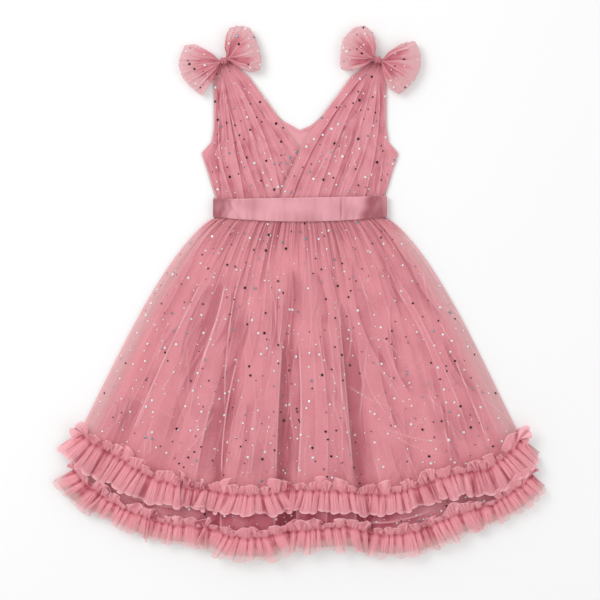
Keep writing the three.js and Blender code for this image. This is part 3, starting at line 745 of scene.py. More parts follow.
UNDER_CREASES = (
    Crease(-98, -335, -99, -362, -99, -392, 0.8, 0.8, -1, 14, 0.7),
    Crease(-30, -335, -31, -362, -32, -392, 0.8, 0.8, 1, 12, 0.7),
    Crease(-4, -335, -4, -362, -4, -390, 0.8, 0.6, -1, 9, 0.6),
    Crease(32, -335, 33, -360, 33, -385, 0.6, 0.4, 1, 8, 0.4),
    Crease(68, -335, 69, -362, 70, -392, 0.8, 0.8, 1, 16, 0.6),
    Crease(-214, -345, -184, -355, -150, -359, 0.4, 0.5, -1, 9, 0.7),
    Crease(70, -378, 108, -378, 166, -362, 0.4, 0.5, -1, 9, 0.7),
    Crease(-150, -352, -120, -362, -100, -366, 0.4, 0.4, -1, 8, 0.4),
    Crease(186, -330, 192, -352, 196, -375, 0.5, 0.35, 1, 9, 0.4),
    Crease(-186, -335, -196, -355, -205, -372, 0.5, 0.35, -1, 9, 0.4),
)


@dataclass
class Layout:
    """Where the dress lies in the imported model's frame, and the levels of its layers."""

    wall: float = 1.3
    gap: float = 0.3
    sash_half: float = 108.5
    seam_y: float = 8.0
    shift_x: float = 0.0
    shift_y: float = 0.0

    def find(self) -> Layout:
        """Reads the dress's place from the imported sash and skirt.

        Returns:
            This layout, with its shifts set in metres.
        """
        low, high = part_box("sash_front")
        self.shift_x = (low[0] + high[0]) / 2
        self.shift_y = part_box("skirt_front")[1][1] - self.seam_y * MM
        return self

    def level(self, count: float) -> float:
        """Returns the height of the underside of a layer, in millimetres."""
        return count * (self.wall + self.gap)

    def metres(self, x: Array, y: Array, z: Array) -> Array:
        """Joins coordinates in millimetres from the waist into points in the model's frame."""
        x, y, z = np.broadcast_arrays(x, y, z)
        return np.stack([x * MM + self.shift_x, y * MM + self.shift_y, z * MM], axis=-1)


@dataclass
class SkirtForm:
    """The gathered skirt's plan and folds, in millimetres from the middle of the waist."""

    layout: Layout
    waist_half: float = 104.0
    bulge: float = 21.5
    bulge_rise: float = 0.55
    straight: float = 0.017
    columns: int = 72
    side_columns: int = 2
    front_level: int = 4
    under_level: int = 3
    lining_level: int = 2
    front_wall: float = 1.5
    gathers: float = 31.0
    gather_height: float = 2.6
    gathers_end: float = 0.34
    tulle_past: float = 24.0
    under_past: float = 20.0

    def __post_init__(self) -> None:
        """Works out the shares of the hem's length at which the fold table's rows stand."""
        x = np.array([row.seam_x for row in FOLDS], float)
        y = np.array([row.seam_y for row in FOLDS], float)
        lengths = np.concatenate([[0.0], np.cumsum(np.hypot(np.diff(x), np.diff(y)))])
        self.shares = lengths / lengths[-1]

    def along(self, share: Array, column: str) -> Array:
        """Reads the fold table between its rows, a little rounded at the rows."""
        values = np.array([getattr(row, column) for row in FOLDS], float)
        spread = 0.005
        steps = [np.interp(share + step * spread, self.shares, values) for step in range(-2, 3)]
        return sum(steps) / len(steps)

    def lift(self, share: Array) -> Array:
        """Returns the height of the large folds at the hem, eased between the rows."""
        held = np.clip(share, 0.0, 1.0)
        index = np.clip(np.searchsorted(self.shares, held) - 1, 0, len(FOLDS) - 2)
        part = (held - self.shares[index]) / (self.shares[index + 1] - self.shares[index])
        lifts = np.array([row.lift for row in FOLDS], float)
        return lerp(lifts[index], lifts[index + 1], eased(part, 0.0, 1.0))

    def stitch(self, share: Array, low: bool) -> tuple[Array, Array, Array, Array]:
        """Finds a stitch line and the way its frill falls.

        Args:
            share: Places along the hem, from 0 to 1.
            low: Whether it is the lower ruffle's line.

        Returns:
            Its x and y, and the x and y of the way out.
        """
        names = ("low_x", "low_y") if low else ("seam_x", "seam_y")
        x, y = (self.along(share, name) for name in names)
        before, after = np.clip(share - 0.03, 0, 1), np.clip(share + 0.03, 0, 1)
        dx = self.along(after, names[0]) - self.along(before, names[0])
        dy = self.along(after, names[1]) - self.along(before, names[1])
        length = np.hypot(dx, dy)
        return x, y, dy / length, -dx / length

    def place(self, share: Array, down: Array, past: Array | float = 0.0) -> tuple[Array, Array]:
        """Finds a point of the upper tier: down is 1 at its stitch line, past the length below it."""
        x, y, out_x, out_y = self.stitch(share, False)
        waist_x = lerp(-self.waist_half, self.waist_half, share)
        flare = np.maximum(0.0, (down - self.straight) / (1 - self.straight))
        bulge = self.bulge * np.sin(np.pi * flare**self.bulge_rise) * (2 * share - 1)
        return (
            lerp(waist_x, x, flare) + bulge + out_x * past,
            lerp(self.layout.seam_y, y, down) + out_y * past,
        )

    def below_stitch(self, share: Array) -> Array:
        """Returns the length of tulle below the upper stitch line, which is shorter at the sides."""
        return self.tulle_past * lerp(0.35, 1.0, eased(np.minimum(share, 1 - share), 0.0, 0.1))

    def side_rise(self, share: Array) -> Array:
        """Returns 0 at the side edges, where the front comes down to the back, and 1 inside."""
        edge = np.minimum(share, 1 - share) * self.columns
        return np.clip(edge / self.side_columns, 0.0, 1.0)

    def side_sheer(self, x: Array, down: Array, reach: float = 23.0) -> Array:
        """Returns how see-through the tulle is at the sides, where it stands past the lining."""
        inside = np.minimum(x - x[:, :1], x[:, -1:] - x)
        return (1 - eased(inside, 0.3 * reach, 1.15 * reach)) * eased(down, 0.02, 0.12)

    def fold_height(self, share: Array, down: Array) -> Array:
        """Returns the height of folds and gathers above the tier's lowest layer."""
        folds = self.lift(share) * eased(down, 0.04, 0.8)
        fading = 1 - eased(down, 0.0, self.gathers_end)
        near_seam = 0.5 + 0.5 * eased(down, self.straight, 0.06)
        wide = (0.5 + 0.5 * ripple(share, self.gathers, 1.0)) * self.gather_height * fading
        fine = 0.8 * ripple(share, 71.0, 2.0) * (1 - eased(down, 0.0, 0.26))
        long = 0.55 * ripple(share, 19.0, 4.0) * eased(down, 0.1, 0.3)
        return folds + (wide + fine) * near_seam + long * self.side_rise(share)

    def gather_lines(self, share: Array, down: Array, count: int, seed: int) -> tuple[Array, Array]:
        """Presses short fold lines that run down from the waist seam, no two alike.

        Args:
            share: Places along the waist.
            down: Places down the skirt.
            count: How many lines there are.
            seed: The seed of their places, lengths and sides.

        Returns:
            Their painted shade and their painted highlight lines.
        """
        chance = np.random.default_rng(seed)
        shade, pale = (np.zeros(np.broadcast(share, down).shape) for _ in range(2))
        width = lerp(2 * self.waist_half, 620.0, down)
        for index in range(count):
            middle = (index + chance.uniform(0.1, 0.9)) / count
            bottom = chance.uniform(0.1, 0.42)
            drift = chance.normal(0, 0.012)
            side = chance.choice([-1, 1])
            off = (share - middle - drift * down / bottom) * width * side
            shown = 1 - eased(down, 0.35 * bottom, bottom)
            dark = chance.uniform(0.2, 0.95)
            # Painted shade beside each line and a thin painted highlight along it.
            shade += dark * shown * np.exp(-np.maximum(off, 0) / 2.2) * eased(off, -0.7, 0.5)
            pale += 0.45 * dark * shown * np.exp(-(((off + 0.5) / 0.7) ** 2))
        return shade, pale


@dataclass
class Skirt:
    """The two tulle tiers and the lining between them."""

    form: SkirtForm
    across: int = 620
    down_rows: int = 108
    past_rows: int = 8
    veil_across: int = 430
    veil_rows: int = 165
    inset_columns: int = 3
    lining_hem: float = 0.97
    inner_spots: int = 170
    outer_spots: int = 510

    def grid(self, across: int, rows: int) -> tuple[Array, Array, Array]:
        """Makes the upper tier's grid, close together near the waist.

        Args:
            across: The number of cells across.
            rows: The number of rows down to the stitch line.

        Returns:
            The shares across and down, and the share of the length below the stitch line.
        """
        share = np.linspace(0.0, 1.0, across + 1)[None, :]
        steps = np.linspace(0.0, 1.0, rows)
        down = np.concatenate([0.45 * steps + 0.55 * steps**1.5, np.ones(self.past_rows)])
        past = np.linspace(0.0, 1.0, self.past_rows + 1)[1:]
        return share, down[:, None], np.concatenate([np.zeros(rows), past])[:, None]

    def front(self, veil: bool) -> Sheet:
        """Returns one of the two layers of the upper tier's front.

        Args:
            veil: Whether it is the sheer outer layer, which has folds of its own.

        Returns:
            The layer's cloth.
        """
        form = self.form
        layout = form.layout
        across, rows = (self.veil_across, self.veil_rows) if veil else (self.across, self.down_rows)
        share, down, reach = self.grid(across, rows)
        x, y = form.place(share, down, reach * form.below_stitch(share))
        height = form.fold_height(share, down)
        tier_base = lerp(layout.level(1), layout.level(form.front_level), form.side_rise(share))
        # Painted shade in the hollows between the gathers and folds.
        painted_shade = np.clip(hollow_shade(height, 14, 5.5) - 0.26, 0, 1)
        if veil:
            rise, shade, pale = press((*VEIL_CREASES, *VEIL_WISPS.strew()), x, y, 1.0)
        else:
            creases = (*SKIRT_CREASES, *SKIRT_WISPS.strew(), *SKIRT_PLEATS.strew())
            rise, shade, pale = press(creases, x, y, 0.75, 1.35)
        line_shade, line_highlight = form.gather_lines(share, down, 30 if veil else 58, 5 + veil)
        clouds = crumple(x, y, 62.0, 0.4 + veil)
        # Painted shade in the gathers just below the waist.
        gather = 0.2 * (1 - eased(down, 0.0, 0.2)) * (0.3 + 1.6 * ripple(share, 33.0, 9.0))
        sheer = form.side_sheer(x, down)
        if veil:
            height = height + 0.9
        z = tier_base + height + rise + 0.4 * clouds * eased(down, 0.1, 0.4) + form.front_wall / 2
        near_waist = 1 - eased(down, 0.1, 0.5)
        # Painted shade of hollows, creases and gather lines, stronger near the waist.
        dark = (0.75 + 0.6 * near_waist) * painted_shade + 1.6 * shade + 1.7 * line_shade
        # Darker lower down in the middle of the skirt.
        middle = 0.1 * eased(down, 0.25, 0.5) * (1 - eased(np.abs(x), 60.0, 120.0))
        blotches = 0.14 * crumple(x, 0.6 * y, 24.0, 3.1 + veil)
        # Clouds and blotches vary the tone at random; the last term makes it darker towards the hem.
        dark = dark + 0.26 * clouds + blotches + gather + middle + 0.16 * eased(down, 0.6, 0.95)
        dark = dark - lerp(0.27, 0.16, eased(down, 0.1, 0.3))
        # The sheer side strips get less painted shade and are painted paler; the highlight attribute also
        # holds the painted highlight lines.
        paint = {
            "painted_shade": np.clip(dark, 0, 1) * (1 - 0.7 * sheer),
            "highlight_and_pale_edge": np.clip(pale + line_highlight + 0.6 * sheer, 0, 1),
            "sheer": sheer * (0.1 if veil else 0.4),
        }
        cloth = np.stack(np.broadcast_arrays(share * 0.64, down * 0.345 + reach * 0.024), axis=-1)
        name = "tulle_skirt_veil" if veil else "tulle_skirt_front"
        below = "tulle_skirt_front" if veil else "skirt_lining"
        cut = Cut(0.68, 0.37, Held.GATHERED, 0.205, (below, "sash_front"))
        points = layout.metres(x, y, z)
        return Sheet(name, "skirt_front", Slot.SPOTTED, points, cloth, cut, True, paint)

    def under_front(self) -> Sheet:
        """Returns the longer tier's front, flat above and folded where it shows."""
        form = self.form
        layout = form.layout
        inset = form.side_columns / form.columns
        own = np.linspace(0.0, 1.0, 441)[None, :]
        share = lerp(inset, 1 - inset, own)
        side = 1 - eased(np.minimum(own, 1 - own), 0.0, 0.012)
        base = lerp(layout.level(form.under_level), layout.level(form.lining_level), side)
        lift = form.lift(share) * 0.85
        flat = [form.place(share, np.full_like(share, down)) for down in (form.straight, 0.45, 0.8)]
        rows = [(x, y, layout.level(form.under_level) + 0 * x) for x, y in flat]
        along = [0.0, 0.155, 0.276]
        top_x, top_y = form.place(share, np.ones_like(share), form.below_stitch(share) * 0.4)
        low_x, low_y, out_x, out_y = form.stitch(own, True)
        for part in np.linspace(0.0, 1.0, 32):
            x = lerp(top_x, low_x, part) + 0.5 * ripple(own, 60.0, 3.0) * part
            y = lerp(top_y, low_y, part)
            wave = 0.45 * ripple(own, 88.0, 3.0) * part + 0.4 * crumple(x, y, 34.0, 1.1)
            rows.append((x, y, base + lift * lerp(1.0, 0.85, part) + wave))
            along.append(0.355 + 0.06 * part)
        for past in np.linspace(0.0, form.under_past, 8)[1:]:
            x, y = low_x + out_x * past, low_y + out_y * past
            rows.append((x, y, base + lift * 0.72 + 0.7 * ripple(own, 88.0, 3.0)))
            along.append(0.415 + past * MM)
        x, y, z = (np.concatenate([row[index] for row in rows]) for index in range(3))
        rise, shade, pale = press(UNDER_CREASES, x, y, 0.9)
        down = np.array(along)[:, None]
        shown = (down > 0.36) & (down < 0.42)
        clouds = crumple(x, y, 28.0, 2.4)
        # Painted shade on the strip that shows between the ruffles, partly the shade under the upper
        # ruffle, darker in the middle and beside its creases.
        middle = 0.42 * (1 - eased(np.abs(x), 90.0, 140.0))
        # More see-through at the sides, which mixes in the greyish painted shadow of the floor beneath.
        sheer = (-0.06 + 0.2 * eased(np.abs(x), 90.0, 160.0)) * shown
        sheer = sheer + 0.22 * form.side_sheer(x, 0 * x + 0.5, 26.0)
        paint = {
            "painted_shade": np.clip(0.4 + middle + shade + 0.3 * clouds, 0, 1) * shown,
            "highlight_and_pale_edge": np.clip(pale, 0, 1) * shown,
            "sheer": sheer,
        }
        cloth = np.stack(np.broadcast_arrays(own * 0.66, down), axis=-1)
        cut = Cut(0.68, 0.43, Held.GATHERED, 0.24, ("skirt_lining",))
        points = layout.metres(x, y, z + rise + layout.wall / 2)
        return Sheet("tulle_under_skirt_front", "under_skirt_front", Slot.SPOTTED, points,
                     cloth, cut, True, paint)

    def lining_sheet(self) -> Sheet:
        """Returns the satin lining, flat and narrower than the tulle."""
        form = self.form
        layout = form.layout
        inset = self.inset_columns / form.columns
        own = np.linspace(0.0, 1.0, 121)[None, :]
        share = lerp(inset, 1 - inset, own)
        down = np.linspace(0.0, self.lining_hem, 60)[:, None]
        x, y = form.place(share, down)
        z = layout.level(form.lining_level) + 0.65 + 0.35 * crumple(x, y, 80.0, 2.0)
        z = z + 0.3 * ripple(share, 14.0, 5.0) * eased(down, 0.1, 0.6)
        folds = form.lift(share) * eased(down, 0.04, 0.8)
        # Painted shade between the large folds; the crumple term varies the tone at random.
        hollow = np.clip(0.5 - folds / 10.0, 0, 1) * eased(down, 0.05, 0.5)
        paint = {"painted_shade": np.clip(hollow + 0.12 * crumple(x, y, 60.0, 4.0), 0, 1)}
        cloth = np.stack(np.broadcast_arrays(own * 0.5, down * 0.34), axis=-1)
        cut = Cut(0.58, 0.34, Held.LAID, 0.14, ("skirt_back",))
        points = layout.metres(x, y, z)
        return Sheet("satin_skirt_lining", "skirt_lining", Slot.LINING, points, cloth, cut, True, paint)

    def back(self) -> Sheet:
        """Returns the upper tier's back, flat on the floor."""
        form = self.form
        share = np.linspace(0.0, 1.0, 161)[None, :]
        down = np.linspace(0.0, 1.0, 60)[:, None]
        x, y = form.place(share, down, -3.0 * (down > 0.999))
        z = 0.65 + 0.0 * x
        # Painted shade of the gather lines and soft folds on the flat back; its side strips are painted
        # paler.
        shade, pale = form.gather_lines(share, down, 40, 8)
        folds = 0.2 * ripple(share, 24.0, 6.0) * eased(down, 0.1, 0.5)
        paint = {
            "painted_shade": np.clip(0.2 + shade + folds, 0, 1),
            "highlight_and_pale_edge": np.clip(pale + 0.5 * form.side_sheer(x, down), 0, 1),
            "sheer": 0.36 * form.side_sheer(x, down),
        }
        cloth = np.stack(np.broadcast_arrays(share * 0.64, down * 0.345), axis=-1)
        cut = Cut(0.62, 0.345, Held.LAID, 0.17, ("floor",))
        points = form.layout.metres(x, y, z)
        return Sheet("tulle_skirt_back", "skirt_back", Slot.SPOTTED, points, cloth, cut, False, paint)

    def under_back(self) -> Sheet:
        """Returns the longer tier's back."""
        form = self.form
        inset = form.side_columns / form.columns
        own = np.linspace(0.0, 1.0, 161)[None, :]
        share = lerp(inset, 1 - inset, own)
        downs = np.linspace(form.straight, 1.0, 40)
        rows = [form.place(share, np.full_like(share, down)) for down in downs]
        low_x, low_y, _, _ = form.stitch(own, True)
        top_x, top_y = rows[-1]
        for part in np.linspace(0.0, 1.0, 9)[1:]:
            rows.append((lerp(top_x, low_x, part), lerp(top_y, low_y, part)))
        x = np.concatenate([row[0] for row in rows])
        y = np.concatenate([row[1] for row in rows])
        z = form.layout.level(1) + 0.65 + 0.0 * x
        along = np.linspace(0.0, 0.39, len(rows))[:, None]
        # Painted shade of soft folds in bands across the flat back; its sides and hem are more
        # see-through.
        paint = {
            "painted_shade": 0.2 + 0.12 * ripple(own, 40.0, 7.0) + 0.0 * along,
            "sheer": 0.36 * form.side_sheer(x, 0 * x + 0.5, 26.0) + 0.1 * (along > 0.33),
        }
        cloth = np.stack(np.broadcast_arrays(own * 0.66, along), axis=-1)
        cut = Cut(0.64, 0.39, Held.LAID, 0.19, ("skirt_back",))
        points = form.layout.metres(x, y, z)
        return Sheet("tulle_under_skirt_back", "under_skirt_back", Slot.SPOTTED, points,
                     cloth, cut, False, paint)


@dataclass(frozen=True)
class Lap:
    """A place where one part of a ruffle folds over the next, in millimetres from the middle.

    The part to the left lies on top where top is -1, and the part to the right where it is 1.
    """

    x: float
    top: int
    reach: float


UPPER_LAPS = (
    Lap(-236, 1, 4.5), Lap(-150, -1, 4), Lap(-121, 1, 8.5), Lap(-19, -1, 7), Lap(84, -1, 8.5),
    Lap(164, 1, 4), Lap(219, -1, 8),
)
LOWER_LAPS = (
    Lap(-247, 1, 6), Lap(-188, -1, 4), Lap(-116, 1, 8.5), Lap(-19, -1, 7), Lap(80, -1, 8),
    Lap(160, 1, 3), Lap(214, -1, 8),
)


@dataclass(frozen=True)
class RuffleEnd:
    """How a ruffle ends: its heading fans round a root, and its frill falls one way, in millimetres."""

    root_x: float
    root_y: float
    degrees: float
    reach: float
    frill_x: float
    frill_y: float


UPPER_ENDS = (
    RuffleEnd(-268.0, -264.0, 238.0, 17.5, -0.78, -0.62),
    RuffleEnd(271.0, -267.0, -58.0, 18.0, 0.64, -0.77),
)
LOWER_ENDS = (
    RuffleEnd(-282.0, -311.0, 150.0, 9.0, -0.9, -0.42),
    RuffleEnd(289.0, -316.0, 30.0, 9.0, 0.7, -0.71),
)


@dataclass
class Ruffle:
    """A strip gathered on one stitch line, with a narrow heading and a longer frill."""

    form: SkirtForm
    low: bool
    flutes: float = 68.0
    loops: float = 50.0
    columns: int = 1800
    heading: float = 15.0
    heading_stand: float = 8.5
    frill_stand: float = 4.0
    flute_height: float = 4.4
    fan_share: float = 0.045
    end_turns: float = 13.0
    fine_flutes: float = 230.0
    heading_rows: int = 10
    frill_rows: int = 16
    lap_turn: float = 2.2
    lap_width: float = 17.0
    lap_rise: float = 1.8
    lean_width: float = 13.0
    shade_width: float = 12.0

    @property
    def name(self) -> str:
        """The node that the front of this ruffle stands for."""
        return "ruffle_lower_front" if self.low else "ruffle_upper_front"

    @property
    def seed(self) -> float:
        """Tells the two ruffles' waves apart."""
        return 2.0 if self.low else 0.5

    def near_end(self, share: Array) -> Array:
        """Returns 1 at the ruffle's ends, falling to 0 where their fans begin."""
        return np.clip(1 - np.minimum(share, 1 - share) / self.fan_share, 0, 1)

    def at_end(self, share: Array, name: str) -> Array:
        """Returns a value of the left or right end, whichever is nearer."""
        left, right = LOWER_ENDS if self.low else UPPER_ENDS
        return np.where(share < 0.5, getattr(left, name), getattr(right, name))

    def tier_height(self, share: Array) -> Array:
        """Returns the upper face of the tier that the ruffle is sewn to, in millimetres."""
        form = self.form
        layout = form.layout
        if self.low:
            side = 1 - eased(np.minimum(share, 1 - share), 0.0, 0.012)
            base = lerp(layout.level(form.under_level), layout.level(form.lining_level), side)
            return base + form.lift(share) * 0.72 + layout.wall
        base = lerp(layout.level(1), layout.level(form.front_level), form.side_rise(share))
        return base + form.lift(share) + form.front_wall

    def laps(self, x: Array) -> tuple[Array, Array, Array, Array]:
        """Folds parts of the strip over their neighbours.

        Args:
            x: Places along the stitch line, in millimetres.

        Returns:
            How far each place moves along the strip, how far up, how far its frill leans, and
            how much it lies in the shade.
        """
        moved, raised, leaning, shade = (np.zeros(x.shape) for _ in range(4))
        for lap in LOWER_LAPS if self.low else UPPER_LAPS:
            off = x - lap.x
            turned = np.tanh(off / self.lap_turn)
            near = np.exp(-((off / self.lap_width) ** 2))
            on_top = eased(turned * lap.top, -0.3, 0.8)
            moved -= lap.reach * turned * near
            raised += self.lap_rise * turned * lap.top * near
            leaning -= lap.top * 0.9 * lap.reach * on_top * np.exp(-((off / self.lean_width) ** 2))
            shade += 0.5 * (1 - on_top) * np.exp(-((off / self.shade_width) ** 2))
        return moved, raised, leaning, shade

    def phases(self, share: Array) -> tuple[Array, Array, Array, Array]:
        """Returns the phases of the frill's and the heading's waves, and the sizes of both."""
        turn = 2 * np.pi * share
        warp = 1.7 * np.sin(turn * 7.3 + self.seed) + 1.3 * np.sin(turn * 17.9 + 2 * self.seed)
        warp = warp + 0.6 * np.sin(turn * 41.0 + 3 * self.seed)
        phase = turn * self.flutes + warp
        head = turn * self.loops + 1.5 * np.sin(turn * 11.0 + self.seed)
        head = head + 0.95 * np.sin(turn * 23.3 + 2 * self.seed) + 0.3 * np.sin(turn * 47.0)
        head = head + np.where(share < 0.5, -1.0, 1.0) * self.end_turns * self.near_end(share) ** 1.3
        size = 0.7 + 0.3 * np.sin(turn * 13.7 + self.seed) + 0.22 * np.sin(turn * 33.0 + 1.0)
        loop_size = 0.9 + 0.2 * np.sin(turn * 9.1 + 2 * self.seed) + 0.2 * np.sin(turn * 21.0)
        return phase, head, size, loop_size

    def sheet(self) -> Sheet:
        """Returns the ruffle's cloth: rows from the heading's edge to the frill's."""
        form = self.form
        share = np.linspace(0.0, 1.0, self.columns + 1)[None, :]
        x, y, out_x, out_y = form.stitch(share, self.low)
        moved, raised, leaning, shade = self.laps(x)
        frill = form.along(share, "low_frill" if self.low else "frill")
        frill = frill * lerp(0.72, 1.0, eased(np.minimum(share, 1 - share), 0.0, 0.009) ** 0.5)
        lean = 0.6 * form.along(share, "lean") + leaning
        phase, head, size, loop_size = self.phases(share)
        top = self.tier_height(share) + form.layout.gap + 0.9 + raised
        turn = 2 * np.pi * share
        jitter = 0.8 * np.sin(turn * 31.0 + self.seed) + 0.6 * np.sin(turn * 57.0)
        near_end = self.near_end(share)
        fanned = eased(near_end, 0.0, 0.9)
        rooted = eased(near_end, 0.0, 0.5)
        angle = lerp(np.arctan2(-out_y, -out_x), np.radians(self.at_end(share, "degrees")), fanned)
        up_x, up_y = np.cos(angle), np.sin(angle)
        root_x = lerp(x, self.at_end(share, "root_x"), rooted)
        root_y = lerp(y, self.at_end(share, "root_y"), rooted)
        out_x = lerp(out_x, self.at_end(share, "frill_x"), near_end)
        out_y = lerp(out_y, self.at_end(share, "frill_y"), near_end)
        heading_steps = np.linspace(-1.0, 0.0, self.heading_rows)
        steps = np.concatenate([heading_steps, np.linspace(0.0, 1.0, self.frill_rows)[1:]])
        rows = []
        for step in steps:
            if step <= 0:
                grown = -step
                wave = np.cos(head + 0.3)
                reach = self.heading * loop_size * (0.82 + 0.26 * np.cos(head))
                reach = reach * (0.85 if self.low else 1.0)
                fan_reach = self.at_end(share, "reach") * (0.93 + 0.1 * np.cos(head))
                reach = lerp(reach, fan_reach, fanned) * grown
                tip = head + 0.7 * np.sin(turn * 6.3 + self.seed)
                side = 4.6 * grown**1.3 * np.sin(tip) * loop_size * (1 - 0.65 * fanned)
                side = side + 1.1 * grown**2 * np.sin(2.3 * head + self.seed)
                rise = self.heading_stand * math.sin(1.35 * grown) * (0.7 + 0.3 * wave)
                rise = rise + 1.0 * grown**2 * np.cos(2.3 * head)
                px = lerp(x, root_x, grown**0.5) + up_x * reach + up_y * (side + moved) + out_x * jitter
                py = lerp(y, root_y, grown**0.5) + up_y * reach - up_x * (side + moved) + out_y * jitter
            else:
                wide = 0.66 * np.cos(phase) + 0.5 * np.cos(0.5 * phase + 1.2 + self.seed)
                wave = np.tanh(1.5 * lerp(np.cos(phase), wide, step)) / math.tanh(1.5)
                scallop = 1.2 * np.cos(phase) + 2.0 * np.sin(0.31 * phase + 1.0)
                reach = frill * (1 + 0.08 * near_end) * step + scallop * step**2 + jitter
                side = 2.7 * size * step**0.8 * np.sin(phase) + lean * step**1.3 + moved
                arch = math.sin(math.pi * min(1.0, 0.16 + 0.7 * step))
                rise = self.frill_stand * arch * 0.8
                rise = rise + self.flute_height * size * step**0.6 * (0.5 + 0.45 * wave)
                px = x + out_x * reach - out_y * side
                py = y + out_y * reach + out_x * side
            rows.append((px, py, top + rise, wave))
        px, py, pz, wave = (np.concatenate([row[index] for row in rows]) for index in range(4))
        step = steps[:, None]
        grown = np.abs(step) ** 0.5
        # Painted shade in the gathers along the stitch line, deepest between the flutes.
        gathers = (0.35 + 0.65 * (0.5 - 0.5 * np.cos(phase))) * np.exp(-((step / 0.1) ** 2))
        fine = np.sin(turn * self.fine_flutes + 2.2 * np.sin(turn * 37.0) + 1.7 * np.sin(turn * 61.0))
        fine = fine * (0.5 + 0.5 * np.sin(turn * 19.0 + 5 * step)) * eased(np.abs(step), 0.02, 0.2)
        # Painted shade and painted highlight of narrow flutes too fine to model, alternating across the
        # strip.
        thread = fine * np.where(step > 0, 0.2 - 0.08 * eased(step, 0.5, 1.0), 0.42)
        # Painted shade in the troughs of the flutes and of the heading's loops.
        hollow = np.where(step > 0, eased(-wave, 0.1, 0.95), eased(-wave, -0.3, 0.95) * 0.8)
        hollow = hollow * lerp(1.0, 0.62, eased(step, 0.3, 1.0))
        # Painted highlights along the flutes' crests.
        lines = np.exp(-(((wave - 0.12) / 0.2) ** 2)) * eased(np.abs(step), 0.12, 0.5)
        ridge = 0.42 * lines + 0.16 * grown * eased(wave, 0.35, 1.0)
        base = lerp(0.04, 0.14, eased(step, -0.1, 0.1))
        # The frill is painted paler towards its outer edge, the lower frill more.
        see_through_tint = (0.26 if self.low else 0.06) * eased(step, 0.25, 0.9)
        # A painted highlight along both edges of the strip.
        edge = eased(np.abs(step), 0.88, 1.0)
        fading = 0.56 if self.low else 0.16
        frill_sheer = fading * eased(step, 0.12, 0.9) * (0.78 - 0.32 * wave)
        # The laps add painted shade where one part lies under the next.
        paint = {
            "painted_shade": np.clip(base + 1.2 * hollow * grown + thread + 0.85 * gathers + shade, 0, 1),
            "highlight_and_pale_edge": np.clip(0.75 * edge + ridge * (1 - shade) + see_through_tint - thread, 0, 1),
            "sheer": np.where(step > 0, frill_sheer, 0.14 * eased(-step, 0.35, 1.0)),
        }
        cloth = np.stack(np.broadcast_arrays(share * 1.25, (step * 0.5 + 0.5) * 0.04), axis=-1)
        cut = Cut(0.95, 0.042, Held.GATHERED, None, ("under_skirt_front" if self.low else "skirt_front",))
        points = form.layout.metres(px, py, pz)
        return Sheet(f"tulle_{self.name}", self.name, Slot.PLAIN, points, cloth, cut, True, paint)

    def back_sheet(self) -> Sheet:
        """Returns the flat strip at the back."""
        form = self.form
        share = np.linspace(0.0, 1.0, 401)[None, :]
        x, y, out_x, out_y = form.stitch(share, self.low)
        frill = form.along(share, "low_frill" if self.low else "frill") - 2.0
        step = np.linspace(0.0, 1.0, 10)[:, None]
        out = lerp(-2.7, frill, step) + 0.8 * ripple(share, 90.0, 8.0) * step
        # Painted shade of flutes in bands along the flat strip.
        paint = {
            "painted_shade": 0.3 + 0.3 * ripple(share, 90.0, 8.0) + 0.0 * step,
            "sheer": 0.1 + 0.3 * step + 0.0 * share,
        }
        cloth = np.stack(np.broadcast_arrays(share * 1.0, step * 0.028), axis=-1)
        name = self.name.replace("front", "back")
        cut = Cut(0.64, 0.03, Held.LAID, None, ("floor",))
        points = form.layout.metres(x + out_x * out, y + out_y * out, 0.65 + 0.0 * out)
        return Sheet(f"tulle_{name}", name, Slot.PLAIN, points, cloth, cut, False, paint)


@dataclass(frozen=True)
class Edge:
    """A bodice panel's free edge and side edge at one height, in millimetres."""

    free_x: float
    free_y: float
    side_x: float
    side_y: float


WRAP_OVER = (
    Edge(89, 199, 106, 197), Edge(76, 189, 109, 181), Edge(62, 179, 109, 162),
    Edge(47, 158, 109, 139), Edge(31, 137, 109, 117), Edge(14, 111, 112, 97),
    Edge(0, 89, 124.5, 83), Edge(-11, 64, 117, 61), Edge(-19, 47, 112, 44),
    Edge(-25, 30, 106.5, 30), Edge(-31, 8.3, 105, 8.3),
)
WRAP_UNDER = (
    Edge(-89, 199, -106, 197), Edge(-76, 191, -109, 179), Edge(-62, 179, -109, 159),
    Edge(-47, 158, -109, 137), Edge(-31, 136, -109, 114), Edge(-16, 113, -112, 97),
    Edge(0, 91, -124.5, 83), Edge(12, 64, -117, 61), Edge(20, 47, -112, 44),
    Edge(26, 30, -106.5, 30), Edge(32, 8.3, -105, 8.3),
)
BACK_PANEL = (
    Edge(89, 198, 105, 196), Edge(76, 188, 108, 180), Edge(63, 177, 108, 161),
    Edge(48, 156, 108, 138), Edge(32, 135, 108, 116), Edge(16, 120, 111, 97),
    Edge(0.15, 110, 123.5, 83), Edge(0.15, 64, 116, 61), Edge(0.15, 28, 107, 28),
)
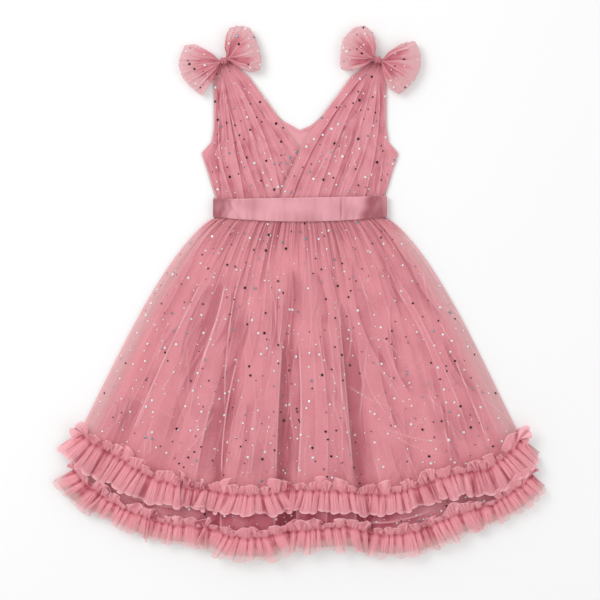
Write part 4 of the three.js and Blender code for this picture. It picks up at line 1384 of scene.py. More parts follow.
UNDER_WRAP_CREASES = (
    Crease(-97, 178, -102, 99, -94, 10, 1.0, 0.5, -1, 7, 0.45),
    Crease(-96, 180, -84, 103, -66, 10, 1.2, 0.6, 1, 7, 0.55),
    Crease(-94, 170, -76, 84, -57, 12, 0.9, 0.4, -1, 6, 0.45),
    Crease(-87, 184, -47, 109, -22, 10, 1.1, 0.5, 1, 7, 0.5),
    Crease(-89, 180, -62, 124, -44, 20, 0.9, 0.35, -1, 6, 0.4),
    Crease(-78, 181, -46, 134, -8, 80, 0.8, 0.35, -1, 5, 0.4),
    Crease(-104, 165, -107, 112, -109, 88, 0.6, 0.25, 1, 5, 0.3),
    Crease(-101, 128, -98, 74, -78, 12, 0.9, 0.42, 1, 7, 0.35),
    Crease(-118, 74, -108, 43, -98, 12, 0.6, 0.25, 1, 6, 0.25),
    Crease(-92, 150, -75, 96, -50, 24, 0.8, 0.28, 1, 5, 0.5),
    Crease(-64, 110, -50, 66, -36, 10, 0.8, 0.32, -1, 6, 0.35),
    Crease(-98, 186, -94, 140, -90, 60, 0.7, 0.35, 1, 4, 0.4),
    Crease(-34, 90, -22, 56, -8, 20, 0.7, 0.3, 1, 6, 0.3),
    Crease(-88, 60, -80, 34, -74, 10, 0.6, 0.3, -1, 5, 0.35),
    Crease(-70, 50, -62, 30, -60, 10, 0.5, 0.3, 1, 4, 0.3),
)
OVER_WRAP_CREASES = (
    Crease(80, 182, 22, 99, -15, 10, 0.9, 0.95, 1, 4.5, 0.4),
    Crease(87, 182, 51, 109, 17, 10, 1.1, 0.45, 1, 7, 0.55),
    Crease(93, 182, 72, 109, 38, 14, 1.1, 0.5, -1, 7, 0.5),
    Crease(96, 180, 85, 99, 48, 12, 0.9, 0.36, 1, 6, 0.45),
    Crease(99, 178, 96, 99, 75, 12, 1.0, 0.45, 1, 7, 0.5),
    Crease(101, 178, 106, 112, 90, 14, 0.8, 0.35, -1, 6, 0.4),
    Crease(90, 165, 61, 118, 27, 70, 0.7, 0.28, -1, 5, 0.45),
    Crease(104, 90, 101, 49, 97, 10, 0.7, 0.32, 1, 6, 0.3),
    Crease(118, 72, 108, 43, 103, 12, 0.5, 0.22, -1, 5, 0.25),
    Crease(65, 102, 46, 56, 31, 10, 0.8, 0.32, 1, 6, 0.4),
    Crease(97, 186, 91, 150, 80, 84, 0.6, 0.35, -1, 4, 0.45),
    Crease(84, 80, 72, 44, 62, 10, 0.6, 0.3, -1, 6, 0.35),
    Crease(34, 78, 16, 44, 4, 10, 0.6, 0.25, 1, 6, 0.35),
    Crease(60, 60, 52, 34, 50, 10, 0.5, 0.25, 1, 4, 0.3),
)


UNDER_WRAP_WISPS = Wisps(60, 63, -118, 12, 30, 190, -96, 205, 44, 0.22)
OVER_WRAP_WISPS = Wisps(60, 64, -22, 118, 30, 190, 98, 206, 44, 0.22)


def between(table: Sequence[Edge], row: Array, column: str) -> Array:
    """Reads an edge table between its rows, a little rounded."""
    values = np.array([getattr(edge, column) for edge in table], float)
    places = np.arange(len(table))
    return sum(np.interp(row + step * 0.06, places, values) for step in range(-2, 3)) / 5.0


@dataclass
class Bodice:
    """The crossed, pleated front, its lining at the neck, and the plain back."""

    layout: Layout
    across: int = 220
    rows: int = 150
    lining_reach: float = 0.62
    overlap_reach: float = 0.5
    edge_strip: float = 3.2

    def panel(self, table: Sequence[Edge], row: Array, share: Array) -> tuple[Array, Array]:
        """Finds points between a panel's two edges."""
        x = lerp(between(table, row, "free_x"), between(table, row, "side_x"), share)
        y = lerp(between(table, row, "free_y"), between(table, row, "side_y"), share)
        return x, y

    def edge_sheer(self, x: Array, y: Array, row: Array) -> Array:
        """Returns 1 on the see-through strips along a panel's neck and armhole edges."""
        free = np.hypot(x - x[:, :1], y - y[:, :1])
        side = np.hypot(x - x[:, -1:], y - y[:, -1:])
        strips = 2 - eased(free, 0.4 * self.edge_strip, self.edge_strip)
        strips = strips - eased(side, 0.4 * self.edge_strip, self.edge_strip)
        return strips * eased(row, 0.6, 1.4)

    def wrap(self, over: bool) -> Sheet:
        """Returns one crossed front panel.

        Args:
            over: Whether it is the one that lies on top.

        Returns:
            The panel's cloth.
        """
        table = WRAP_OVER if over else WRAP_UNDER
        creases = OVER_WRAP_CREASES if over else UNDER_WRAP_CREASES
        strewn = (OVER_WRAP_WISPS if over else UNDER_WRAP_WISPS).strew()
        row = np.linspace(0.0, len(table) - 1.0, self.rows)[:, None]
        share = np.linspace(0.0, 1.0, self.across + 1)[None, :]
        x, y = self.panel(table, row, share)
        rise, shade, pale = press((*creases, *strewn), x, y, 0.65)
        squeeze = 0.35 + 0.65 * eased(row, 0.3, 3.0)
        soft = 0.7 * (0.5 + 0.5 * ripple(share, 8.0, 3.0 + over)) + 0.15 * ripple(share, 19.0, 5.0 + over)
        waist = 0.35 * ripple(share, 40.0, 7.0) * eased(row, 8.2, 9.6)
        knot = ripple(share, 9.0, 2.0 + over) * (1 - eased(row, 0.2, 1.6))
        height = (rise + soft) * squeeze + waist + 0.8 * knot
        lining = eased(row, 2, 3) * (1 - eased(share, self.lining_reach, 1))
        level = 1 + lining
        # Painted shade of the soft pleats.
        pleat_shade_and_edge_shadow = (0.2 * ripple(share, 8.0, 3.6 + over) + 0.1) * eased(row, 0.5, 2.0)
        if over:
            level = level + eased(row, 4, 5) * (1 - eased(share, self.overlap_reach, 1))
        else:
            lead = np.interp(-y, [-edge.free_y for edge in WRAP_OVER], [e.free_x for e in WRAP_OVER])
            height = height * eased(lead - x, 0.0, 12.0)
            # A painted shadow on the under panel beside the edge of the panel that lies over it.
            pleat_shade_and_edge_shadow = pleat_shade_and_edge_shadow + 0.4 * (1 - eased(lead - x, 0.0, 6.0)) * (row > 5.6)
        height = height + 0.25 * crumple(x, y, 30.0, 0.7 + over) * eased(row, 1.0, 3.0)
        z = self.layout.level(level) + height + self.layout.wall / 2
        # Painted shade in the gathers below the knot.
        gathered = 0.4 * (1 - eased(row, 0.2, 1.5)) * (1 - knot)
        # Darker towards the waist seam.
        seam = 0.25 * eased(row, 9.0, 10.0) * (1 + ripple(share, 40.0, 7.0))
        # Painted shade of creases, pleats and gathers, with random crumples in the tone.
        dark = 1.2 * shade + pleat_shade_and_edge_shadow + gathered + seam + 0.2 * crumple(x, y, 26.0, 1.9 + over)
        strips = self.edge_sheer(x, y, row)
        # Painted highlights along the creases, broken up at random; the see-through edge strips get less
        # paint.
        paint = {
            "painted_shade": np.clip(dark, 0, 1) * (1 - 0.7 * strips),
            "highlight_and_pale_edge": np.clip(0.8 * pale * (0.6 + 0.8 * crumple(x, y, 16.0, 2.2)), 0, 1) * (1 - strips),
            "sheer": 0.5 * strips,
        }
        cloth = np.stack(np.broadcast_arrays(share * 0.16, row * 0.02), axis=-1)
        cut = Cut(0.2, 0.21, Held.GATHERED, 0.0252, ("neck_lining", "sash_front"))
        node = "wrap_over" if over else "wrap_under"
        points = self.layout.metres(x, y, z)
        return Sheet(f"tulle_{node}", node, Slot.SPOTTED, points, cloth, cut, True, paint)

    def neck_lining(self) -> Sheet:
        """Returns the plain satin panel that shows in the point of the neck."""
        share = np.linspace(0.0, 1.0, 81)[None, :]
        down = np.linspace(0.0, 1.0, 60)[:, None]
        places = [0.0, 0.25, 0.5, 0.72, 1.0]
        top_x = np.interp(share, places, [-34, -16, 0, 14, 30])
        top_y = np.interp(share, places, [131, 121, 112, 118, 130])
        bottom_x = np.interp(share, places, [-50, -25, 0, 25, 50])
        x, y = lerp(top_x, bottom_x, down), lerp(top_y, 8.3, down)
        z = self.layout.level(1) + 0.75 + 0.25 * crumple(x, y, 26.0, 3.0)
        rise, shade, pale = press((Crease(2, 113, 8, 110, 17, 111, 0.4, 0.4, 1, 4, 0.3),), x, y)
        # Painted shade and a painted highlight at one crease, and a dark line just inside the top edge.
        hem = np.exp(-(((top_y - y - 3.2) / 0.7) ** 2))
        paint = {"painted_shade": np.clip(0.08 + 0.4 * hem + shade, 0, 1), "highlight_and_pale_edge": pale}
        cloth = np.stack(np.broadcast_arrays(share * 0.09, down * 0.11), axis=-1)
        cut = Cut(0.1, 0.123, Held.LAID, 0.0095, ("bodice_back_left", "bodice_back_right"))
        points = self.layout.metres(x, y, z + rise)
        return Sheet("satin_neck_lining", "neck_lining", Slot.LINING, points, cloth, cut, True, paint)

    def back(self, side: int) -> Sheet:
        """Returns one plain back panel, which lies flat on the floor."""
        row = np.linspace(0.0, len(BACK_PANEL) - 1.0, 90)[:, None]
        share = np.linspace(0.0, 1.0, 61)[None, :]
        x, y = self.panel(BACK_PANEL, row, share)
        x = np.maximum(x, 0.15)
        soft = 0.12 * ripple(share, 9.0, 4.0) * eased(row, 0.5, 3.0)
        # Painted shade of soft folds in bands across the flat back.
        paint = {
            "painted_shade": 0.3 + soft,
            "sheer": 0.55 * self.edge_sheer(x, y, row) * (x > 6.0),
        }
        cloth = np.stack(np.broadcast_arrays(share * 0.12, row * 0.02), axis=-1)
        cut = Cut(0.125, 0.175, Held.LAID, 0.0147, ("floor",))
        node = f"bodice_back_{'left' if side < 0 else 'right'}"
        points = self.layout.metres(side * x, y, 0.65 + 0.0 * x)
        return Sheet(f"tulle_{node}", node, Slot.SPOTTED, points, cloth, cut, False, paint)


@dataclass
class Sash:
    """The satin band over the waist seam."""

    layout: Layout
    top_y: float = 27.0
    top_tilt: float = 2.0
    bottom_y: float = 3.0
    sag: float = 6.0
    over_skirt: float = 9.8
    over_bodice: float = 8.6

    def front(self) -> Sheet:
        """Returns the front band, with its puckers and its ends turned down."""
        half = self.layout.sash_half
        inner = np.linspace(-1.0, 1.0, 301)
        drop = np.linspace(0.0, 1.0, 9)[:-1]
        x = np.concatenate([np.full(8, -half), inner * (half - 0.6), np.full(8, half)])[None, :]
        rise = np.concatenate([drop, np.ones(301), drop[::-1]])[None, :]
        across = np.linspace(0.0, 1.0, 41)[:, None]
        top = self.top_y + self.top_tilt * x / half
        bottom = self.bottom_y - self.sag * (1 - (x / half) ** 2)
        y = lerp(top, bottom, across)
        over = lerp(self.over_bodice, self.over_skirt, eased(across, 0.1, 0.75))
        round_end = 1 - 0.16 * eased(np.abs(x), 96.0, half) * rise
        floor = self.layout.level(1)
        puckers = self.puckers(x, across)
        belly = 0.9 * np.sin(np.pi * across) * eased(half - np.abs(x), 0.0, 14.0)
        height = (over + 0.9 - floor) * round_end * rise
        z = floor + height + (puckers + belly + 0.55) * eased(rise, 0.4, 1.0)
        # Painted shade in the puckers' dents, added to the band's painted light and shade.
        paint = {"painted_shade": np.clip(self.light_and_shade(x, across) - puckers * 0.16, 0, 1)}
        cloth = np.stack(np.broadcast_arrays(x * MM, across * 0.026), axis=-1)
        cut = Cut(0.235, 0.03, Held.STRETCHED, None, ("wrap_over", "skirt_front"))
        points = self.layout.metres(x + 0 * across, y, z)
        return Sheet("satin_sash_front", "sash_front", Slot.SATIN, points, cloth, cut, True, paint)

    def light_and_shade(self, x: Array, across: Array) -> Array:
        """Returns the satin's painted light and shade: painted shade at its dented ends, along a stitched
        crease, in soft dents and folds and along its bottom edge, and a painted highlight along its top
        edge.
        """
        slant = x + 7.0 * (across - 0.5) + 1.5 * np.sin(9 * across)
        left = (1 - eased(slant, -103.0, -84.0)) * 0.95 + 0.3 * np.exp(-(((slant + 88) / 2.5) ** 2))
        right = eased(slant, 72.0, 88.0) * (1 - 0.6 * eased(x, 100.0, 107.0))
        right = right * (0.86 + 0.2 * np.sin(0.16 * x + 4 * across))
        crease = 0.5 * np.exp(-(((x - 51.0) / 0.9) ** 2)) * (0.4 + 0.6 * np.sin(2.6 * across + 0.2))
        edges = 0.25 * np.exp(-(((1 - across) / 0.035) ** 2)) - 0.3 * np.exp(-((across / 0.03) ** 2))
        soft = 0.2 + 0.3 * crumple(x, across * 34.0, 44.0, 1.9) + 0.07 * ripple(x / 217.0, 6.0, 3.0)
        fan = 0.16 * eased(x, 20.0, 70.0) * ripple(x / 217.0 + 0.05 * across, 5.0, 2.0)
        return left + right + crease + edges + soft + fan

    def puckers(self, x: Array, across: Array) -> Array:
        """Returns the small dents along the band's edges, in millimetres."""
        near_bottom = eased(across, 0.45, 1.0)
        near_top = 1 - eased(across, 0.0, 0.4)
        dents = 0.5 * ripple(x / 217.0, 21.0, 4.0) * near_bottom
        dents = dents + 0.3 * ripple(x / 217.0, 12.0, 6.0) * near_top
        slant = -0.7 * np.exp(-(((x + 90.0 - 14.0 * across) / 3.0) ** 2))
        stand = -0.5 * np.exp(-(((x - 51.0) / 2.0) ** 2))
        return dents + slant + stand

    def back(self) -> Sheet:
        """Returns the plain back band."""
        x = np.linspace(-1.0, 1.0, 61)[None, :] * self.layout.sash_half
        y = np.linspace(27.7, 8.3, 9)[:, None]
        paint = {"painted_shade": 0.2 + 0.0 * x + 0.0 * y}
        cloth = np.stack(np.broadcast_arrays(x * MM, y * MM), axis=-1)
        cut = Cut(0.217, 0.02, Held.STRETCHED, None, ("floor",))
        points = self.layout.metres(x + 0 * y, y + 0 * x, 0.65)
        return Sheet("satin_sash_back", "sash_back", Slot.SATIN, points, cloth, cut, False, paint)


@dataclass(frozen=True)
class Ray:
    """How far a bow loop reaches in one direction."""

    degrees: float
    reach: float


@dataclass(frozen=True)
class LoopFold:
    """A fold of a bow loop, at a share of its fan, with painted shade on one side."""

    share: float
    shade: float
    side: int
    end: float = 1.0
    bend: float = 0.0


@dataclass
class BowLoop:
    """A loop of tulle: a pleated fan from the knot, folded back under itself at its end."""

    layout: Layout
    name: str
    knot_x: float
    knot_y: float
    rays: tuple[Ray, ...]
    folds: tuple[LoopFold, ...]
    seed: float
    root: float = 3.2
    floor: float = 5.5

    def creased(self, share: Array, out: Array, spread: Array) -> tuple[Array, Array, Array]:
        """Presses the loop's folds.

        Args:
            share: Places across the fan.
            out: Places from the knot to the loop's end.
            spread: The fan's width at each place, in millimetres.

        Returns:
            The height that the folds add, their painted shade and their painted highlight lines.
        """
        rise, shade, pale = (np.zeros(np.broadcast(share, out).shape) for _ in range(3))
        for fold in self.folds:
            middle = fold.share + fold.bend * (out - 0.5) ** 2
            off = (share - middle) * spread * fold.side
            shown = 1 - eased(out, fold.end - 0.25, fold.end)
            rise += 1.1 * shown * np.exp(-(np.where(off > 0, off / 1.2, off / 4.0) ** 2))
            shade += fold.shade * shown * np.exp(-np.maximum(off, 0) / 3.4) * eased(off, -0.7, 0.7)
            pale += 0.45 * shown * np.exp(-(((off + 0.3) / 0.7) ** 2))
        return rise, shade, pale

    def sheet(self) -> Sheet:
        """Returns the loop's cloth, out over the top and back underneath."""
        share = np.linspace(0.0, 1.0, 121)[None, :]
        places = np.linspace(0.0, 1.0, len(self.rays))
        degrees = np.interp(share, places, [ray.degrees for ray in self.rays])
        reach = np.interp(share, places, [ray.reach for ray in self.rays])
        run = np.linspace(0.0, 2.0, 90)[:, None]
        out = 1 - np.abs(1 - run) ** 1.6
        top = run <= 1.0
        up = np.interp(run, [0.0, 0.3, 0.62, 0.85, 1.0, 1.15, 1.45, 2.0],
                       [4.0, 7.6, 9.2, 7.8, 4.6, 1.2, 0.3, 1.4])
        radius = lerp(self.root, reach, out) + 0.4 * ripple(share, 5.0, self.seed) * out
        wide = np.radians(abs(self.rays[-1].degrees - self.rays[0].degrees))
        rise, shade, pale = self.creased(share, out, wide * radius)
        soft = ripple(share, 2.6, self.seed) * 1.2 + ripple(share, 6.0, self.seed + 2) * 0.2
        shape = np.sin(np.pi * np.clip(out, 0, 1) * 0.5) * (1 - 0.45 * eased(out, 0.8, 1.0))
        pleats = (soft + rise) * shape * np.where(top, 1.0, 0.25)
        angle = np.radians(degrees)
        centre = np.radians((self.rays[0].degrees + self.rays[-1].degrees) / 2)
        angle = lerp(centre + (angle - centre) * 0.45, angle, eased(radius, 2.0, 16.0))
        x = self.knot_x + np.cos(angle) * radius
        y = self.knot_y + np.sin(angle) * radius
        # Painted shade beside the folds and near the knot, in its gathers; the raised pleats are painted
        # lighter; the crumple term varies the tone at random.
        near = 1 - eased(radius, 5.0, 30.0)
        gathers = 0.18 * near * (1 + ripple(share, 8.0, self.seed + 4))
        dark = 1.05 * shade * top + 0.14 * near + gathers - 0.1 * soft
        dark = dark + 0.3 * crumple(x, y, 15.0, self.seed) + 0.04
        # A painted highlight along the loop's folded end.
        rim = np.exp(-(((out - 1.0) / 0.03) ** 2))
        # The outer parts are painted paler and more see-through.
        thin = eased(out - 0.62 - 0.14 * ripple(share, 2.5, self.seed + 6), -0.12, 0.14)
        paint = {
            "painted_shade": np.clip(dark, 0, 1) * (1 - 0.35 * thin),
            "highlight_and_pale_edge": np.clip(pale * top * (1 - 0.5 * near) + 0.3 * rim + 0.55 * thin, 0, 1),
            "sheer": 0.05 * out + 0.14 * thin,
        }
        cloth = np.stack(np.broadcast_arrays(share * 0.09, run * 0.055), axis=-1)
        cut = Cut(0.1, 0.115, Held.FOLDED, 0.0062, (f"{self.name.rsplit('_', 1)[0]}_knot",))
        points = self.layout.metres(x, y, self.floor + up + pleats)
        return Sheet(f"tulle_{self.name}", self.name, Slot.SPOTTED, points, cloth, cut, True, paint)


@dataclass
class BowKnot:
    """The band of tulle wound round the middle of a bow."""

    layout: Layout
    name: str
    x: float
    y: float
    half_width: float = 4.4
    radius: float = 4.3
    centre_z: float = 8.3

    def sheet(self) -> Sheet:
        """Returns the knot's cloth, a puckered band closed at both ends."""
        along = np.linspace(-1.0, 1.0, 33)[:, None]
        turn = np.linspace(0.0, 2 * np.pi, 49)[None, :]
        body = np.sqrt(np.maximum(0.0, 1 - np.abs(along) ** 5.0))
        waist = 1 - 0.1 * np.exp(-((along / 0.3) ** 2))
        creases = 1 + 0.07 * np.sin(along * 11.0 + 1.3 * np.sin(turn)) * (1 - along**2)
        radius = self.radius * body * waist * creases
        x = self.x + self.half_width * along + 0.0 * turn
        y = self.y + radius * np.sin(turn)
        z = self.centre_z + radius * np.cos(turn)
        # Painted shade in the knot's crease hollows; darker towards its ends.
        painted_shade = np.clip(0.4 - 4.0 * (creases - 1) + 0.4 * along**4, 0, 1)
        cloth = np.stack(np.broadcast_arrays(turn * 0.005, along * 0.006), axis=-1)
        cut = Cut(0.027, 0.011, Held.FOLDED, None, (self.name.replace("knot", "inner"),))
        points = self.layout.metres(x, y, z)
        paint = {"painted_shade": painted_shade + 0.0 * turn}
        return Sheet(f"tulle_{self.name}", self.name, Slot.SPOTTED, points, cloth, cut, True, paint)


LEFT_KNOT = (-95.0, 198.0)
RIGHT_KNOT = (97.0, 199.0)
BOW_LOOPS = {
    "bow_left_outer": (
        LEFT_KNOT,
        (Ray(150, 40), Ray(159, 52), Ray(176, 55), Ray(188, 57), Ray(206, 55), Ray(222, 52), Ray(239, 51)),
        (LoopFold(0.3, 0.4, 1, 0.85, -0.3), LoopFold(0.52, 0.28, -1, 0.7, 0.3),
         LoopFold(0.74, 0.6, 1, 0.95, 0.2),
         LoopFold(0.88, 0.5, 1, 0.8)),
    ),
    "bow_left_inner": (
        LEFT_KNOT,
        (Ray(86, 30), Ray(80, 41), Ray(66, 47), Ray(52, 52), Ray(26, 47), Ray(6, 47), Ray(-15, 47),
         Ray(-24, 36)),
        (LoopFold(0.26, 0.7, 1, 0.98, 0.5), LoopFold(0.46, 0.4, -1, 0.9, 0.4),
         LoopFold(0.66, 0.45, 1, 0.95, -0.2),
         LoopFold(0.83, 0.7, -1, 1.0, -0.5), LoopFold(0.93, 0.5, 1, 0.8)),
    ),
    "bow_right_inner": (
        RIGHT_KNOT,
        (Ray(97, 28), Ray(111, 46), Ray(130, 50), Ray(151, 50), Ray(172, 47), Ray(194, 48), Ray(205, 34)),
        (LoopFold(0.22, 0.3, 1, 0.8, 0.3), LoopFold(0.5, 0.35, -1, 0.7, 0.4),
         LoopFold(0.72, 0.45, 1, 0.9, -0.3),
         LoopFold(0.9, 0.55, -1, 0.9)),
    ),
    "bow_right_outer": (
        RIGHT_KNOT,
        (Ray(34, 36), Ray(26, 52), Ray(6, 54), Ray(-14, 54), Ray(-36, 52), Ray(-58, 51), Ray(-69, 38)),
        (LoopFold(0.2, 0.6, 1, 0.95, 0.5), LoopFold(0.42, 0.35, -1, 0.8, 0.3),
         LoopFold(0.62, 0.4, 1, 0.75, -0.3),
         LoopFold(0.8, 0.6, -1, 0.95, -0.2)),
    ),
}
BOW_KNOTS = {"bow_left_knot": LEFT_KNOT, "bow_right_knot": RIGHT_KNOT}


@dataclass(frozen=True)
class Spread:
    """Where foil spots lie on a sheet: how many, how far apart in metres, and within which rows."""

    count: int
    seed: int
    apart: float = 0.0085
    first_row: float = 0.0
    last_row: float = 1.0
    margin: float = 0.01


@dataclass
class Spots:
    """Foil spots fixed to the tulle, modelled once and copied over a sheet."""

    finishes: dict[Foil, bpy.types.Material]
    radius: float = 1.6
    dome: float = 0.25
    over_cloth: float = 0.45

    def model(self) -> tuple[Array, list[list[int]]]:
        """Models one spot: a small round disc with a raised middle.

        Returns:
            Its corners in units of its radius, and its faces.
        """
        bpy.ops.object.select_all(action="DESELECT")
        bpy.ops.mesh.primitive_circle_add(vertices=6, radius=1.0, fill_type="NGON")
        disc = bpy.context.object
        bpy.ops.object.mode_set(mode="EDIT")
        bpy.ops.mesh.select_all(action="SELECT")
        bpy.ops.mesh.inset(thickness=0.35, depth=self.dome)
        bpy.ops.object.mode_set(mode="OBJECT")
        corners = np.array([vertex.co for vertex in disc.data.vertices], float)
        faces = [list(face.vertices) for face in disc.data.polygons]
        bpy.data.objects.remove(disc, do_unlink=True)
        return corners, faces

    def places(self, sheet: Sheet, spread: Spread) -> list[tuple[Array, Array]]:
        """Chooses where the spots go, evenly over the cloth's area but not in rows.

        Args:
            sheet: The cloth.
            spread: How many spots there are, and where.

        Returns:
            Points and normals.
        """
        chance = np.random.default_rng(spread.seed)
        a, b = sheet.points[:-1, :-1], sheet.points[:-1, 1:]
        c, d = sheet.points[1:, 1:], sheet.points[1:, :-1]
        rows, columns = a.shape[:2]
        row = np.linspace(0, 1, rows)[:, None]
        column = np.linspace(0, 1, columns)[None, :]
        shown = (row > spread.first_row) & (row < spread.last_row)
        shown = shown & (column > spread.margin) & (column < 1 - spread.margin)
        normal = np.cross(c - a, b - d)
        size = np.linalg.norm(normal, axis=-1)
        normal = normal / np.maximum(size, 1e-12)[..., None]
        if ((normal[..., 2] * size * shown).sum() > 0) != sheet.faces_up:
            normal = -normal
        odds = (size * shown).ravel()
        picks = chance.choice(odds.size, size=spread.count * 12, p=odds / odds.sum())
        kept: list[tuple[Array, Array]] = []
        points = np.empty((0, 3))
        for pick in picks:
            i, j = divmod(int(pick), columns)
            u, v = chance.random(2)
            point = lerp(lerp(a[i, j], b[i, j], u), lerp(d[i, j], c[i, j], u), v)
            clear = spread.apart * chance.uniform(0.35, 1.25)
            if len(points) and np.linalg.norm(points - point, axis=1).min() < clear:
                continue
            points = np.vstack([points, point])
            kept.append((point, normal[i, j]))
            if len(kept) == spread.count:
                break
        return kept

    def scatter(self, name: str, sheet: Sheet, spread: Spread) -> bpy.types.Object:
        """Copies the spot over a sheet, as one mesh.

        Args:
            name: The new piece's name.
            sheet: The cloth that carries the spots.
            spread: How many spots there are, and where.

        Returns:
            The piece.
        """
        corners, faces = self.model()
        chance = np.random.default_rng(spread.seed + 1000)
        points, loops, kinds = [], [], []
        for index, (point, normal) in enumerate(self.places(sheet, spread)):
            tilt = normal + chance.normal(0, 0.12, 3)
            tilt /= np.linalg.norm(tilt)
            side = np.cross(tilt, [0.31, 0.95, 0.05])
            side /= np.linalg.norm(side)
            ahead = np.cross(tilt, side)
            size = self.radius * MM * lerp(0.45, 1.2, chance.random() ** 1.4)
            flat = corners[:, :1] * side + corners[:, 1:2] * ahead + corners[:, 2:] * tilt
            points.append(point + normal * self.over_cloth * MM + size * flat)
            loops += [[index * len(corners) + corner for corner in face] for face in faces]
            # Each spot gets one of the foil's painted reflections at random: bright, grey or dark.
            kinds += [chance.choice(len(Foil), p=[0.52, 0.14, 0.34])] * len(faces)
        mesh = bpy.data.meshes.new(name)
        mesh.from_pydata(np.concatenate(points).tolist(), [], loops)
        for foil in Foil:
            mesh.materials.append(self.finishes[foil])
        mesh.polygons.foreach_set("material_index", np.array(kinds, dtype=np.int32))
        mesh.update()
        piece = bpy.data.objects.new(name, mesh)
        bpy.context.scene.collection.objects.link(piece)
        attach(piece, BODY)
        return piece


@dataclass
class Studio:
    """The pale floor, the soft light and the camera straight above."""

    layout: Layout
    frame_width: float = 0.75
    lens: float = 85.0
    sensor: float = 36.0
    photo_middle_y: float = -100.6
    cloth_height: float = 0.005

    def floor(self) -> None:
        """Lays the floor."""
        bpy.ops.object.select_all(action="DESELECT")
        bpy.ops.mesh.primitive_plane_add(size=8.0, location=(0.0, 0.0, 0.0))
        plane = bpy.context.object
        plane.name = "floor"
        plane.data.transform(((1, 0, 0, 0), (0, 1, 0, 0), (0, 0, 1, -0.0008), (0, 0, 0, 1)))
        plane.data.materials.append(FloorFinish().build())

    def lamp(self, name: str, place: Colour, size: float, power: float) -> None:
        """Adds one soft square light that faces the dress."""
        data = bpy.data.lights.new(name, "AREA")
        data.size = size
        data.energy = power
        lamp = bpy.data.objects.new(name, data)
        lamp.location = place
        tilt = math.atan2(math.hypot(place[0], place[1]), place[2])
        lamp.rotation_euler = (tilt, 0.0, math.atan2(place[0], -place[1]))
        bpy.context.scene.collection.objects.link(lamp)

    def camera(self) -> None:
        """Puts the camera straight above the dress, as far as its lens needs."""
        data = bpy.data.cameras.new("camera")
        data.lens = self.lens
        data.sensor_width = self.sensor
        data.clip_end = 20.0
        camera = bpy.data.objects.new("camera", data)
        distance = self.frame_width * self.lens / self.sensor
        middle_y = self.layout.shift_y + self.photo_middle_y * MM
        camera.location = (self.layout.shift_x, middle_y, distance + self.cloth_height)
        bpy.context.scene.collection.objects.link(camera)
        bpy.context.scene.camera = camera

    def light(self) -> None:
        """Sets the soft white surroundings and the lamps."""
        world = bpy.data.worlds.new("studio")
        world.use_nodes = True
        background = world.node_tree.nodes["Background"]
        background.inputs["Color"].default_value = (1.0, 1.0, 1.0, 1.0)
        background.inputs["Strength"].default_value = 0.7
        bpy.context.scene.world = world
        self.lamp("key_light", (-1.5, 1.1, 1.9), 1.4, 29.0)
        self.lamp("fill_light", (1.7, -0.4, 2.2), 2.0, 11.0)
        bpy.context.scene.view_settings.view_transform = "Standard"

    def build(self) -> None:
        """Sets up the whole studio."""
        self.camera()
        self.light()
        self.floor()


# Each tulle: its lit colour, its painted shade colour, its painted highlight colour and how much it
# covers.
SKIRT_TULLE = TulleFinish(
    "spotted_tulle_skirt", srgb(246, 166, 176), srgb(172, 74, 92), srgb(250, 194, 200), 0.66,
)
VEIL_TULLE = TulleFinish(
    "spotted_tulle_veil", srgb(248, 170, 179), srgb(196, 100, 114), srgb(253, 206, 210), 0.26,
    valley_cover=0.4, crest_cover=0.42,
)
BODICE_TULLE = TulleFinish(
    "spotted_tulle_bodice", srgb(229, 151, 161), srgb(170, 76, 92), srgb(244, 190, 196), 0.92,
    valley_cover=0.08, line=0.16, line_scale=240.0, along_scale=26.0,
)
BOW_TULLE = TulleFinish(
    "spotted_tulle_bow", srgb(224, 140, 150), srgb(170, 76, 92), srgb(246, 204, 208), 0.8,
    valley_cover=0.2, crest_cover=0.0, streak=0.06, line=0.05, line_scale=90.0, along_scale=30.0,
)
RUFFLE_TULLE = TulleFinish(
    "plain_tulle", srgb(247, 160, 170), srgb(172, 72, 88), srgb(251, 192, 199), 0.8,
    valley_cover=0.15, streak=0.42, line=0.12, line_scale=420.0, along_scale=50.0,
)
# Each satin: its lit colour and its painted shade colour.
SASH_SATIN = SatinFinish("sash_satin", srgb(226, 158, 168), srgb(158, 78, 90), 0.4)
LINING_SATIN = SatinFinish("lining_satin", srgb(230, 158, 167), srgb(186, 98, 111), 0.55)


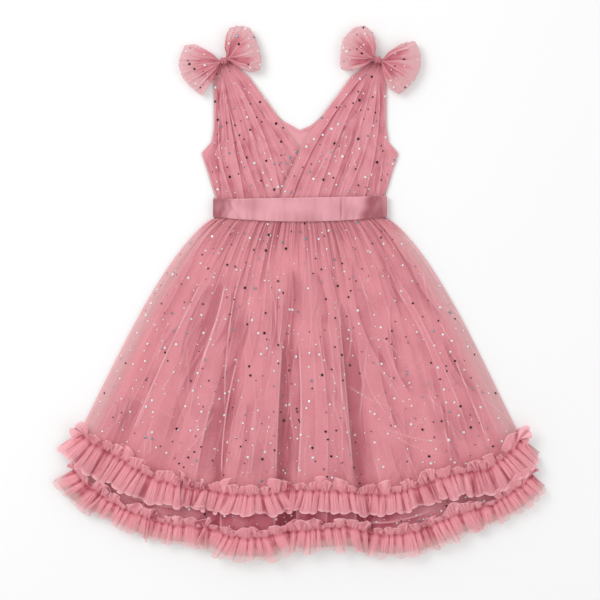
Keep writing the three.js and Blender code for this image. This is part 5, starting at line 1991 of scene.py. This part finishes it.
@dataclass
class Dress:
    """The whole dress, built piece by piece."""

    layout: Layout
    spots: Spots = field(default_factory=lambda: Spots({foil: foil.build() for foil in Foil}))

    def add(self, sheet: Sheet, finish: bpy.types.Material, spread: Spread | None = None) -> None:
        """Builds one piece of cloth, with its spots."""
        piece = sheet.build(finish)
        if spread:
            self.spots.scatter(f"spots_{sheet.name}", sheet, spread)

    def skirt(self) -> None:
        """Builds the skirt's tiers, lining and ruffles."""
        form = SkirtForm(self.layout)
        skirt = Skirt(form)
        tulle, ruffle_tulle, lining = SKIRT_TULLE.build(), RUFFLE_TULLE.build(), LINING_SATIN.build()
        self.add(skirt.back(), tulle, Spread(420, 13))
        self.add(skirt.under_back(), tulle)
        self.add(skirt.lining_sheet(), lining)
        self.add(skirt.under_front(), tulle, Spread(150, 12, first_row=0.1, last_row=0.8))
        self.add(skirt.front(False), tulle, Spread(skirt.inner_spots, 11, 0.012, 0.05, 0.93))
        self.add(skirt.front(True), VEIL_TULLE.build(), Spread(skirt.outer_spots, 14, 0.0105, 0.05, 0.93))
        for low in (False, True):
            ruffle = Ruffle(form, low)
            self.add(ruffle.sheet(), ruffle_tulle)
            self.add(ruffle.back_sheet(), ruffle_tulle)

    def bodice(self) -> None:
        """Builds the crossed front, the neck lining and the back."""
        bodice = Bodice(self.layout)
        tulle = BODICE_TULLE.build()
        for side in (-1, 1):
            self.add(bodice.back(side), tulle, Spread(60, 30 + side))
        self.add(bodice.neck_lining(), LINING_SATIN.build())
        for over in (False, True):
            self.add(bodice.wrap(over), tulle, Spread(88, 21 + over, 0.009, 0.07, 0.88, 0.02))

    def trim(self) -> None:
        """Builds the sash and the bows."""
        satin, tulle = SASH_SATIN.build(), BOW_TULLE.build()
        sash = Sash(self.layout)
        self.add(sash.front(), satin)
        self.add(sash.back(), satin)
        for index, (name, (knot, rays, folds)) in enumerate(BOW_LOOPS.items()):
            loop = BowLoop(self.layout, name, *knot, rays, folds, 1.0 + index)
            self.add(loop.sheet(), tulle, Spread(15, 40 + index, 0.008, 0.12, 0.5, 0.04))
        for name, knot in BOW_KNOTS.items():
            self.add(BowKnot(self.layout, name, *knot).sheet(), tulle)

    def build(self) -> None:
        """Builds all the pieces in order, from the back to the front."""
        self.bodice()
        self.skirt()
        self.trim()


def main() -> None:
    """Builds the studio and the dress."""
    logging.basicConfig(level=logging.INFO, format="%(message)s", stream=sys.stdout)
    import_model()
    layout = Layout().find()
    Studio(layout).build()
    Dress(layout).build()
    LOG.info("boxes written")


if __name__ == "__main__":
    main()
